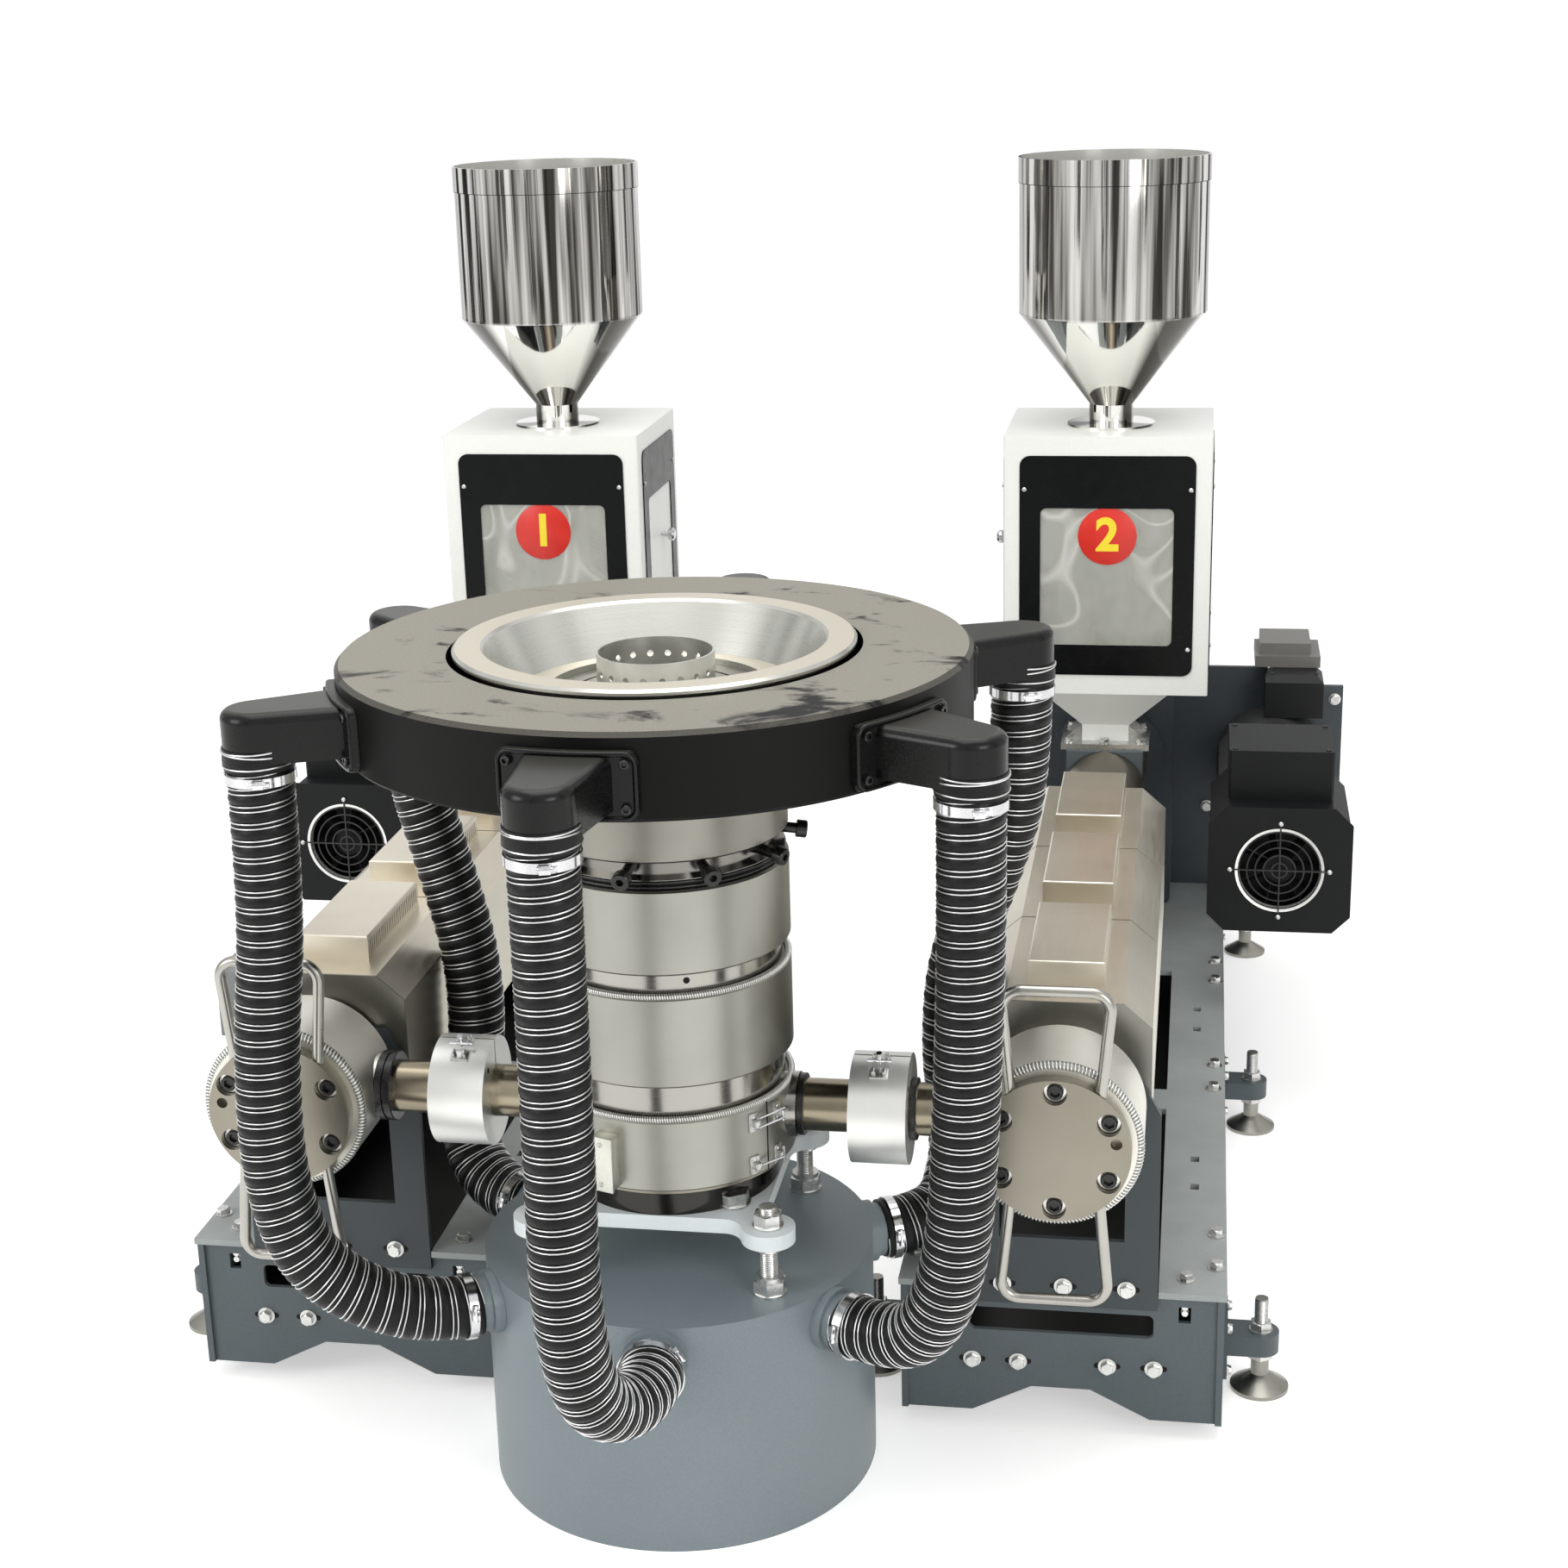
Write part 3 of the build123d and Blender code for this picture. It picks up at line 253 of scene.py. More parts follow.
def grain_noise(add, grain, detail=2.0, turned_about=None, kind="3D", **sockets):
    """A noise with grains of a real size: one size in mm, or three along X, Y and Z. For a turned
    piece, turned_about is (axis, x, y, z): the grain runs round that axis, and its third size is
    the spacing of the tool marks."""
    place = add("TexCoord")["Object"]
    if turned_about:
        axis, *centre = turned_about
        parts = dict(zip("XYZ", add("SeparateXYZ", [place])))
        if centre[0]:
            parts["X"] = add("Math", [parts["X"]], operation="ABSOLUTE")[0]
        for letter, middle in zip("XYZ", centre):
            parts[letter] = add("Math", [parts[letter], middle], operation="SUBTRACT")[0]
        across = [parts[letter] for letter in "XYZ" if letter != axis]
        radius = add("VectorMath", [add("CombineXYZ", across)[0]], operation="LENGTH")["Value"]
        marks = add("Math", [radius, parts[axis]], operation="ADD")[0]
        place = add("CombineXYZ", [*across, marks])[0]
    sizes = grain if isinstance(grain, tuple) else (grain,) * 3
    scaled = add("Mapping", {"Vector": place, "Scale": [1 / (size * MM) for size in sizes]})[0]
    return add("TexNoise", {"Vector": scaled, "Scale": 1.0, "Detail": detail, **sockets},
               noise_dimensions=kind)[0]


def looking_up(add, low, high, most=1.0):
    """How much a face looks up: none below low, most above high."""
    facing = add("SeparateXYZ", [add("NewGeometry")["Normal"]])["Z"]
    return add("MapRange", {"Value": facing, "From Min": low, "From Max": high, "To Max": most})[0]


def banded(add, tone, *steps):
    """A tone that changes to the next one at each height, in metres."""
    height = add("SeparateXYZ", [add("TexCoord")["Object"]])["Z"]
    for level, after in steps:
        above = add("Math", [height, level], operation="GREATER_THAN")[0]
        tone = add("Mix", {"Factor": above, "A": tone, "B": after}, data_type="RGBA")[2]
    return tone


def finish(name, tones, rough, grain, on="", slot=None, patch=150.0, bump=0.0, turned_about=None,
           tone_share=0.5, bloom=None, **sockets):
    """A material that mixes two tones by large patches and by its grain. Rough is the roughness in
    the grain's hollows and on its tops, and bump is the grain's depth in mm. Bloom is a colour and
    its share, laid where a face looks up: dust or a dull oxide."""

    def graph(add):
        grains = grain_noise(add, grain, 3.0, turned_about)
        both = add("Mix", {"Factor": tone_share, "A": grains, "B": grain_noise(add, patch, 4.0)})[0]
        spread = add("MapRange", {"Value": both, "From Min": 0.35, "From Max": 0.65})[0]
        dark, light = tones.split()
        tone = add("Mix", {"Factor": spread, "A": dark, "B": light}, data_type="RGBA")[2]
        polish = add("MapRange", {"Value": grains, "From Min": 0.3, "From Max": 0.7,
                                  "To Min": rough[0], "To Max": rough[1]})[0]
        if bloom:
            up = looking_up(add, 0.75, 0.97, bloom[1])
            tone = add("Mix", {"Factor": up, "A": tone, "B": bloom[0]}, data_type="RGBA")[2]
            polish = add("Mix", {"Factor": up, "A": polish, "B": 0.5})[0]
        inputs = {"Base Color": tone, "Roughness": polish}
        if bump:
            dents = {"Height": grains, "Distance": bump * MM, "Strength": 1.0}
            inputs["Normal"] = add("Bump", dents)[0]
        return inputs | {socket.replace("_", " "): value for socket, value in sockets.items()}

    return material(name, graph, on, slot)


# %% [markdown]
# The painted steel is powder coat: sprayed dry and baked, which leaves a faint orange peel a few
# millimetres across and an even satin sheen. The tank, the frames and the die's stand plate have
# different blue-greys in the photograph.

# %% Painted metals
PEEL, DULL = 3.0, {"Specular_IOR_Level": 0.22}
for name, tones, rough, patch, on in (
    ("slate", "#4b5559 #575f63", (0.42, 0.52), 150.0,
     "frame_side_plates frame_end_plates foot_brackets feed_blocks"),
    ("support", "#2c3337 #373f43", (0.42, 0.52), 150.0, "barrel_supports"),
    ("drive", "#3a4147 #464e54", (0.42, 0.52), 150.0, "gearboxes drive_plates"),
    ("dusty_rail", "#979d9c #a7adac", (0.50, 0.62), 70.0, "frame_rails"),
    ("tank", "#79848a #859094", (0.36, 0.46), 400.0, "tank_wall tank_lid tank_base tank_spigots"),
    ("stand_plate", "#e2eaec #ebf1f2", (0.40, 0.50), 150.0, "die_stand_plate"),
):
    finish(name + "_powder_coat", tones, rough, PEEL, on, patch=patch, bump=0.03)
finish("white_powder_coat", "#edeee8 #f4f5f0", (0.35, 0.45), PEEL, "scale_boxes feed_funnels",
       patch=300.0, bump=0.02)
finish("grey_machine_paint", "#777b7b #868a89", (0.45, 0.55), PEEL, "junction_box", bump=0.03)
finish("black_tray_paint", "#0a0a0a #111111", (0.30, 0.45), PEEL, "frame_trays", bump=0.02, **DULL)
finish("matte_black_motor_paint", "#0b0c0d #131516", (0.45, 0.58), 2.0, "fan_shrouds terminal_boxes",
       bump=0.03, **DULL)
finish("grey_motor_body_paint", "#323332 #3f403e", (0.38, 0.48), 2.0, "motors", bump=0.03)
elbow_coat = finish("moulded_black_elbow", "#0b0c0c #141513", (0.20, 0.30), 2.5, "inlet_elbows",
                    "ring_black", bump=0.04, bloom=("#5f5e57", 0.28), Specular_IOR_Level=0.25)
black_oxide = finish("black_oxide_steel", "#0e0e0e #181716", (0.24, 0.34), 2.0, slot="ring_black")
finish("black_guard_wire", "#121212 #1b1b1b", (0.30, 0.40), 3.0, "fan_guards")
finish("black_fan_plastic", "#0c0c0d #151516", (0.45, 0.55), 2.0, "fan_rotor_a fan_rotor_b", **DULL)
finish("gloss_black_panel", "#0a0b0c #101112", (0.22, 0.30), 30.0, "window_panels",
       Specular_IOR_Level=0.12)
dark_slot = finish("dark_slotted_hole", "#0a0a0a #121212", (0.6, 0.7), PEEL, **DULL)

# %% [markdown]
# The metals differ by how they were worked. A turned face keeps fine rings from the lathe, a
# brushed sheet keeps straight scratches, and steel that has been hot goes brown. Each one gets a
# long thin grain in the direction of its tool marks. The marks are drawn coarser than real ones,
# which are about 0.1 mm apart, so that they show at this size.

# %% Bare metals
metal = partial(finish, Metallic=1.0)
turned_die = partial(metal, turned_about=("Z", 0.0, 0.0, 0.0))
turned_barrel = partial(metal, turned_about=("Y", 0.556, 0.0, 0.567))
TURNED = (60.0, 60.0, 1.0)
turned_die("turned_aluminium", "#c6c6bf #d0d0c9", (0.26, 0.30), (220.0, 220.0, 1.2),
           "air_ring_lip air_ring_floor", patch=300.0, tone_share=0.8, bloom=("#dcd3c1", 0.7))
turned_die("satin_die_head", "#88867d #94928a", (0.34, 0.42), TURNED, "die_head", tone_share=0.85)
turned_die("satin_heater_jacket", "#9b9a92 #a6a59d", (0.36, 0.42), TURNED, "die_heater_bands",
           tone_share=0.85)
turned_barrel("satin_nose_jacket", "#d8d6cd #e5e3da", (0.36, 0.44), TURNED, "nose_blocks",
              tone_share=0.85)
faced_steel = turned_barrel("faced_flange_steel", "#858074 #928d81", (0.30, 0.40), (40.0, 40.0, 1.2),
                            "nose_flanges", tone_share=0.8)
turned_barrel("browned_barrel_steel", "#6f675a #8d8475", (0.32, 0.44), TURNED, "barrels")
metal("satin_cage_aluminium", "#c9c9c4 #d8d8d3", (0.30, 0.36), 30.0, "bubble_cage", patch=80.0)
metal("satin_pipe_heater", "#e8e8e4 #f2f2ee", (0.38, 0.46), (1.0, 40.0, 40.0), "pipe_heaters",
      tone_share=0.8)
metal("heat_browned_steel", "#8f8674 #9c937f", (0.20, 0.26), (0.8, 40.0, 40.0), "melt_pipes",
      tone_share=0.9)
metal("brushed_cover_stainless", "#d0c9ba #e4ddce", (0.30, 0.40), (1.0, 80.0, 1.0),
      "heater_covers cover_boxes", patch=250.0, tone_share=0.7)
metal("satin_end_panel_stainless", "#7f7e79 #8e8d87", (0.30, 0.42), (1.0, 1.0, 60.0),
      "cover_end_panels", tone_share=0.8)
bin_steel = metal("satin_bin_stainless", "#c6c6bd #d3d3ca", (0.34, 0.42), 8.0, "weigh_bins",
                  "bin_stainless", patch=160.0)
metal("satin_handle_steel", "#a5a39c #b2b0a9", (0.26, 0.32), 60.0, "nose_handles")
zinc_plate = metal("bright_zinc_plate", "#c3c3c0 #dadad7", (0.26, 0.36), 4.0,
                   "die_stand_studs feed_flanges", "zinc_steel", patch=20.0)
metal("dull_nickel_foot", "#8f8d86 #a3a199", (0.30, 0.36), 40.0, "levelling_feet", patch=90.0)
chrome_wire = metal("bright_chrome_wire", "#c4c4c6 #dcdcde", (0.12, 0.20), 3.0, slot="guard_chrome")

# %% [markdown]
# The die's body shows between its heater jackets as hard chrome, ground and polished bright. Its
# base and its packing rings are dark steel. On each coupling housing, which is black, sits a small
# relay box of grey moulded plastic. One material can do each piece, because the change comes at
# known heights: a step on the object's own Z picks the next tone.

# %% Materials that change with height
CHROME_FROM, CHROME_TO, PACKING_TO, RELAY_FROM = 0.503, 0.946, 0.956, 0.738


def die_chrome(add):
    """Polished chrome between two heights, dark steel below, black packing and a bare neck above."""
    marks = grain_noise(add, (50.0, 50.0, 1.0), turned_about=("Z", 0.0, 0.0, 0.0))
    tone = banded(add, "#3b3a38", (CHROME_FROM, "#a09e98"), (CHROME_TO, "#141414"),
                  (PACKING_TO, "#7d7b76"))
    gloss = add("MapRange", {"Value": marks, "To Min": 0.10, "To Max": 0.26})[0]
    return {"Base Color": tone, "Roughness": gloss, "Metallic": 1.0}


def relay_paint(add):
    """Matte black below a height, grey moulded plastic above it."""
    fine = grain_noise(add, 2.0, 3.0)
    black, grey = (add("Mix", {"Factor": fine, "A": dark, "B": light}, data_type="RGBA")[2]
                   for dark, light in (("#101112", "#1b1c1d"), ("#6e6d69", "#85837f")))
    tone = banded(add, black, (RELAY_FROM, grey))
    return {"Base Color": tone, "Roughness": 0.48, "Specular IOR Level": 0.3}


material("ground_die_chrome", die_chrome, "die_body")
material("coupling_black_and_relay_grey", relay_paint, "coupling_housings")

# %% [markdown]
# The air ring is black satin paint that has stood open in a workshop. Its sides stay dark, while
# its top has caught a grey-brown bloom of dust, wiped off in places. The bloom follows the face's
# own normal, so only what looks up is dusty, and a noise with a sharp ramp makes the wiped edges.

# %% Dusty black ring paint
DUST_PATCH, DUST_CHOICE = 210.0, 1.7


def dusty_black(add):
    """Satin black with a bloom on the faces that look up."""
    blotch = grain_noise(add, (DUST_PATCH, DUST_PATCH / 2, DUST_PATCH), 8.0, kind="4D", W=DUST_CHOICE,
                         Roughness=0.62, Distortion=0.8)
    wiped = add("MapRange", {"Value": blotch, "From Min": 0.36, "From Max": 0.43})[0]
    fine = grain_noise(add, 3.0, 4.0)
    dust = add("Math", [looking_up(add, 0.6, 0.95), wiped], operation="MULTIPLY")[0]
    speck = add("MapRange", {"Value": fine, "To Min": 0.55, "To Max": 1.0})[0]
    amount = add("Math", [dust, speck], operation="MULTIPLY")[0]
    tone = add("Mix", {"Factor": amount, "A": "#080807", "B": "#9b978c"}, data_type="RGBA")[2]
    gloss = add("MapRange", {"Value": amount, "To Min": 0.46, "To Max": 0.5})[0]
    peel = add("Bump", {"Height": fine, "Distance": 0.04 * MM, "Strength": 1.0})[0]
    return {"Base Color": tone, "Roughness": gloss, "Specular IOR Level": 0.14, "Normal": peel}


material("dusty_black_ring_paint", dusty_black, "air_ring_casing")

# %% [markdown]
# The hoppers are thin stainless sheet, mirror polished and rolled, so the sheet is slightly fluted
# from top to bottom and every reflection breaks into upright streaks. A noise read by the direction
# from the hopper's own axis runs straight down the wall and gives the flutes their depth and tone.
# The cone was bent from one sheet and buffed in three broad sectors, so the flutes fade out there
# and its tone turns three times round it. Inside, the steel was left satin.

# %% Mirror-polished hoppers
HOPPER_X, HOPPER_Y, FLUTES, BUFFED_SECTORS = 0.556, 1.664, 8.0, 3.0
CONE_FROM, CONE_TO = 1.500, 1.492


def rolled_mirror(add):
    """Mirror stainless with upright flutes left by the rolls."""
    x, y, z = add("SeparateXYZ", [add("TexCoord")["Object"]])
    side = add("Math", [x], operation="ABSOLUTE")[0]
    across = add("Math", [side, HOPPER_X], operation="SUBTRACT")[0]
    depth = add("Math", [y, HOPPER_Y], operation="SUBTRACT")[0]
    flat = add("CombineXYZ", [across, depth])[0]
    aim = add("VectorMath", [flat], operation="NORMALIZE")[0]
    signed = add("Math", [x], operation="SIGN")[0]
    slow = add("CombineXYZ", {2: add("Math", [z, signed], operation="ADD")[0]})[0]
    where = add("VectorMath", [aim, (FLUTES, FLUTES, 1.0), slow], operation="MULTIPLY_ADD")[0]
    flutes = add("TexNoise", {"Vector": where, "Scale": 1.0, "Detail": 3.0})[0]
    streak = add("ValToRGB", {"Fac": flutes})[0]
    stops = streak.node.color_ramp.elements
    stops[0].position, stops[0].color = 0.38, linear("#3f3d39")
    stops[1].position, stops[1].color = 0.62, linear("#dddcd8")
    stops.new(0.47).color = linear("#9b9994")
    cone = add("MapRange", {"Value": z, "From Min": CONE_FROM, "From Max": CONE_TO})[0]
    bearing = add("Math", [depth, across], operation="ARCTAN2")[0]
    uneven = add("TexNoise", {"Vector": aim, "Scale": 1.6, "Detail": 2.0})[0]
    swing = add("Math", [bearing, BUFFED_SECTORS, uneven], operation="MULTIPLY_ADD")[0]
    sector = add("Math", [swing], operation="SINE")[0]
    buffed = add("MapRange", {"Value": sector, "From Min": -0.75, "From Max": -0.1})[0]
    spun = add("Mix", {"Factor": buffed, "A": "#4e4c47", "B": "#eeede8"}, data_type="RGBA")[2]
    tone = add("Mix", {"Factor": cone, "A": streak, "B": spun}, data_type="RGBA")[2]
    normal = add("SeparateXYZ", [add("NewGeometry")["Normal"]])
    turned = add("Math", [normal["X"], signed], operation="MULTIPLY")[0]
    facing = add("CombineXYZ", [turned, normal["Y"]])[0]
    outward = add("VectorMath", [facing, flat], operation="DOT_PRODUCT")["Value"]
    inside = add("Math", [outward, -0.01], operation="LESS_THAN")[0]
    tone = add("Mix", {"Factor": inside, "A": tone, "B": "#c9c8c3"}, data_type="RGBA")[2]
    polish = add("MapRange", {"Value": inside, "To Min": 0.06, "To Max": 0.22})[0]
    solid = add("MapRange", {"Value": inside, "To Min": 1.0, "To Max": 0.4})[0]
    wave = add("Mix", {"Factor": cone, "A": flutes, "B": 0.5})[0]
    dents = add("Bump", {"Height": wave, "Distance": 1.2 * MM, "Strength": 0.6})[0]
    return {"Base Color": tone, "Roughness": polish, "Metallic": solid, "Normal": dents}


material("rolled_mirror_stainless", rolled_mirror, "hoppers")

# %% [markdown]
# The panes are clear acrylic that still has its loose protective film, so they look milky and the
# film's folds catch the light. Glass in a renderer is slow and dark behind another shell, so a
# partly transparent surface does it: the folds are the thin lines where a noise crosses its middle.


# %% Clear panes
def clear_acrylic(add):
    """Filmed sheet: alpha shows what is behind, and the folds are paler and less clear."""
    haze = grain_noise(add, (70.0, 70.0, 110.0))
    film = grain_noise(add, (150.0, 150.0, 210.0), 0.0, Distortion=1.2)
    away = add("Math", [add("Math", [film, 0.46], operation="SUBTRACT")[0]], operation="ABSOLUTE")[0]
    fold = add("MapRange", {"Value": away, "From Min": 0.03, "From Max": 0.0})[0]
    milky = add("MapRange", {"Value": haze, "From Min": 0.35, "From Max": 0.65,
                             "To Min": 0.38, "To Max": 0.58})[0]
    cover = add("Math", [fold, 0.10, milky], operation="MULTIPLY_ADD")[0]
    tone = add("Mix", {"Factor": fold, "A": "#c4c5bc", "B": "#e4e4de"}, data_type="RGBA")[2]
    return {"Base Color": tone, "Roughness": 0.16, "Alpha": cover}


material("filmed_acrylic_pane", clear_acrylic, "window_panes")

# %% [markdown]
# Small pieces are meshes that ride on a body. A turned or hexagonal piece is a stack of rings: each
# ring has a shape, a size and a height, and the next cell joins them up and closes both ends.

# %% Mesh helpers
HERE = Matrix.Identity(4)
TO_FRONT = Matrix.Rotation(math.radians(90), 4, "X")


def new_piece(name, mesh, coat):
    """An object for a finished mesh, in its material, riding on the unit's fixed body."""
    if list(mesh.materials) != [coat]:
        mesh.materials.clear()
        mesh.materials.append(coat)
    made = bpy.data.objects.new(name, mesh)
    scene.collection.objects.link(made)
    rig.ride(made, "root")
    if SLOTS[coat]:
        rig.slot(made, SLOTS[coat])
    print(name, "faces:", len(mesh.polygons))
    return made


def around(count):
    """Angles spread evenly round a circle."""
    return [2 * math.pi * index / count for index in range(count)]


def ring_points(ring, sides):
    """Points round the Z axis: (radius, height) is a circle, ("hex", half width, height) a hexagon."""
    *hexagon, size, height = ring
    points = []
    for angle in around(sides):
        reach = size
        if hexagon:
            reach = size / math.cos((angle + math.pi / 6) % (math.pi / 3) - math.pi / 6)
        points.append(Vector((reach * math.cos(angle), reach * math.sin(angle), height)))
    return points


def tube(loops, closed):
    """A bmesh of loops of points joined in order. If closed, the last joins the first."""
    made = bmesh.new()
    loops = [[made.verts.new(point) for point in loop] for loop in loops]
    for low, high in zip(loops, loops[1:] + loops[:1] if closed else loops[1:]):
        for index in range(len(low)):
            after = (index + 1) % len(low)
            made.faces.new((low[index], low[after], high[after], high[index]))
    if not closed:
        made.faces.new(list(reversed(loops[0])))
        made.faces.new(loops[-1])
    bmesh.ops.recalc_face_normals(made, faces=made.faces)
    return made


def stack(*rings, sides=24, closed=False):
    """A turned piece made of rings."""
    return tube([ring_points(ring, sides) for ring in rings], closed)


def block(low, high, bevel=0.0):
    """A bmesh box between two corners, with bevelled edges."""
    made = bmesh.new()
    bmesh.ops.create_cube(made, size=1.0)
    for vert in made.verts:
        vert.co = [low[axis] + (vert.co[axis] + 0.5) * (high[axis] - low[axis]) for axis in range(3)]
    if bevel:
        bmesh.ops.bevel(made, geom=made.edges[:], offset=bevel, segments=2, affect="EDGES", profile=0.5)
    return made


def joined(*parts):
    """Several bmeshes as one. A part may come with the matrix that puts it in place."""
    whole = bmesh.new()
    for part in parts:
        part, place = part if isinstance(part, tuple) else (part, HERE)
        part.transform(place)
        mesh = bpy.data.meshes.new("part")
        part.to_mesh(mesh)
        part.free()
        whole.from_mesh(mesh)
        bpy.data.meshes.remove(mesh)
    return whole


def to_mesh(made, name, smooth=30.0):
    """A mesh from a bmesh, smooth where faces meet at less than that angle."""
    mesh = bpy.data.meshes.new(name)
    made.to_mesh(mesh)
    made.free()
    for polygon in mesh.polygons:
        polygon.use_smooth = True
    mesh.set_sharp_from_angle(angle=math.radians(smooth))
    return mesh


def millimetres(made, centre=(0, 0, 0), turn=HERE):
    """A shape in millimetres with the matrix that puts it in place in metres."""
    return made, Matrix.Translation(Vector(centre) * MM) @ turn @ Matrix.Scale(MM, 4)


# %% [markdown]
# Most small pieces repeat. One Geometry Nodes tree sets a template piece on every spot of a point
# cloud. Each spot carries the direction that the piece faces. Instances are turned to real faces at
# the end, because an export drops instances, and the result becomes a plain mesh.


# %% A tree that sets pieces on spots
def new_tree(name, sockets):
    """A Geometry Nodes tree, its adder, and its group inputs, listed as label:kind."""
    tree = bpy.data.node_groups.new(name, "GeometryNodeTree")
    for label, kind in (socket.split(":") for socket in sockets.split()):
        tree.interface.new_socket(label, in_out="INPUT", socket_type="NodeSocket" + kind)
    tree.interface.new_socket("Result", in_out="OUTPUT", socket_type="NodeSocketGeometry")
    add = adder(tree)
    return tree, add, add("NodeGroupInput")


def close_tree(add, shape, coat):
    """The end of each tree: real faces, in their material."""
    real = add("RealizeInstances", [shape])[0]
    add("NodeGroupOutput", [add("SetMaterial", {"Geometry": real, "Material": coat})[0]])


def spots_tree():
    """A template on each spot, its Z along the spot's aim and its X towards its side."""
    tree, add, given = new_tree("set_pieces_on_spots",
                                "Spots:Geometry Template:Object Size:Float Material:Material")
    template = add("ObjectInfo", {"Object": given["Template"]})["Geometry"]
    aim, side = (add("InputNamedAttribute", {"Name": label}, data_type="FLOAT_VECTOR")[0]
                 for label in ("aim", "side"))
    turned = add("FunctionNodeAlignRotationToVector", {"Vector": aim}, axis="Z")[0]
    turned = add("FunctionNodeAlignRotationToVector", {"Rotation": turned, "Vector": side},
                 axis="X", pivot_axis="Z")[0]
    placed = add("InstanceOnPoints", {"Points": given["Spots"], "Instance": template,
                                      "Rotation": turned, "Scale": given["Size"]})[0]
    close_tree(add, placed, given["Material"])
    return tree


SPOTS_TREE = spots_tree()
print("nodes in the tree:", len(SPOTS_TREE.nodes))


def evaluated(name, carrier):
    """The plain mesh that an object's modifiers make; the object itself is removed."""
    graph = bpy.context.evaluated_depsgraph_get()
    mesh = bpy.data.meshes.new_from_object(carrier.evaluated_get(graph))
    mesh.name = name
    base = carrier.data
    bpy.data.objects.remove(carrier)
    if isinstance(base, bpy.types.Mesh):
        bpy.data.meshes.remove(base)
    return mesh


def run_tree(name, carrier_mesh, tree, **values):
    """Run a Geometry Nodes tree on a mesh, with its inputs set by name, and keep the plain result
    without the tree's helper attributes."""
    carrier = bpy.data.objects.new(name, carrier_mesh)
    scene.collection.objects.link(carrier)
    modifier = carrier.modifiers.new("tree", "NODES")
    modifier.node_group = tree
    for item in tree.interface.items_tree:
        if item.in_out == "INPUT" and item.name in values:
            modifier[item.identifier] = values[item.name]
    mesh = evaluated(name, carrier)
    for label in ("aim", "side", "hose_along", "hose_round"):
        if label in mesh.attributes:
            mesh.attributes.remove(mesh.attributes[label])
    return mesh


def repeat(name, coat, template, spots, size=MM):
    """Set a template on (place, aim, side) spots given in metres; size is its unit in metres."""
    cloud = bpy.data.meshes.new(name + "_spots")
    cloud.from_pydata([place for place, _, _ in spots], [], [])
    for label, column in (("aim", 1), ("side", 2)):
        held = cloud.attributes.new(label, "FLOAT_VECTOR", "POINT")
        held.data.foreach_set("vector", [part for spot in spots for part in spot[column]])
    source = bpy.data.objects.new(name + "_template", to_mesh(template, name + "_template"))
    scene.collection.objects.link(source)
    mesh = run_tree(name, cloud, SPOTS_TREE, Template=source, Size=size, Material=coat)
    bpy.data.objects.remove(source)
    print(name, "pieces:", len(spots))
    return new_piece(name, mesh, coat)


def pairs(spots):
    """Spots of extruder B and their mirror images on extruder A."""
    mirrored = [tuple(Vector((-part[0], *part[1:])) for part in spot) for spot in spots]
    return [tuple(Vector(part) for part in spot) for spot in spots] + mirrored


# %% [markdown]
# The six air hoses are neoprene-coated fabric over a spring-steel spiral, the usual duct hose of a
# blown-film line. Each one hangs from its elbow, turns under its own stiffness and pushes onto a
# spigot of the tank. Its route is one smooth spline through a few chosen points.

# %% Hose routes, in millimetres
HOSE_DIAMETER = 0.090
HOSE_ROUTES = (
    ((-23.8, -544.5, 1135), (-23.8, -544.5, 935), (-22, -556, 720), (-26, -550, 500), (-12, -500, 350),
     (31, -393.8, 306), (24.3, -309, 306)),
    ((459.6, -292.8, 1135), (459.6, -292.8, 940), (452, -290, 700), (440, -276, 490), (400, -231, 352),
     (342.1, -197.5, 306), (268.5, -155, 306)),
    ((483.4, 251.7, 1135), (483.4, 251.7, 985), (440, 264, 835), (384, 264, 695), (375, 258, 550),
     (386, 270, 432), (388, 226, 350), (358, 166.9, 306), (281, 131, 306)),
    ((23.8, 544.5, 1135), (23.8, 544.5, 935), (20, 560, 720), (26, 548, 520), (22, 470, 370),
     (0, 395, 306), (0, 310, 306)),
    ((-459.6, 292.8, 1135), (-459.6, 292.8, 980), (-420, 300, 820), (-378, 290, 660), (-376, 278, 510),
     (-396, 244, 380), (-342.1, 197.5, 306), (-268.5, 155, 306)),
    ((-483.4, -251.7, 1135), (-483.4, -251.7, 935), (-508, -262, 730), (-512, -266, 530),
     (-470, -256, 390), (-335, -209.3, 306), (-262.9, -164.3, 306)),
)


def route_line(name, points):
    """The points along a smooth NURBS spline through a route, as plain vectors."""
    curve = bpy.data.curves.new(name, "CURVE")
    curve.dimensions = "3D"
    curve.resolution_u = 24
    spline = curve.splines.new("NURBS")
    spline.points.add(len(points) - 1)
    for held, point in zip(spline.points, points):
        held.co = (*point, 1.0)
    spline.order_u = 3
    spline.use_endpoint_u = True
    carrier = bpy.data.objects.new(name, curve)
    scene.collection.objects.link(carrier)
    mesh = evaluated(name, carrier)
    line = [vert.co.copy() for vert in mesh.vertices]
    bpy.data.meshes.remove(mesh)
    bpy.data.curves.remove(curve)
    return line


def line_mesh(name, line, closed=False):
    """A mesh of edges along a line."""
    mesh = bpy.data.meshes.new(name)
    count = len(line) if closed else len(line) - 1
    mesh.from_pydata(line, [(index, (index + 1) % len(line)) for index in range(count)], [])
    return mesh


def line_length(line):
    """The length of a row of points."""
    return sum((after - before).length for before, after in zip(line, line[1:]))


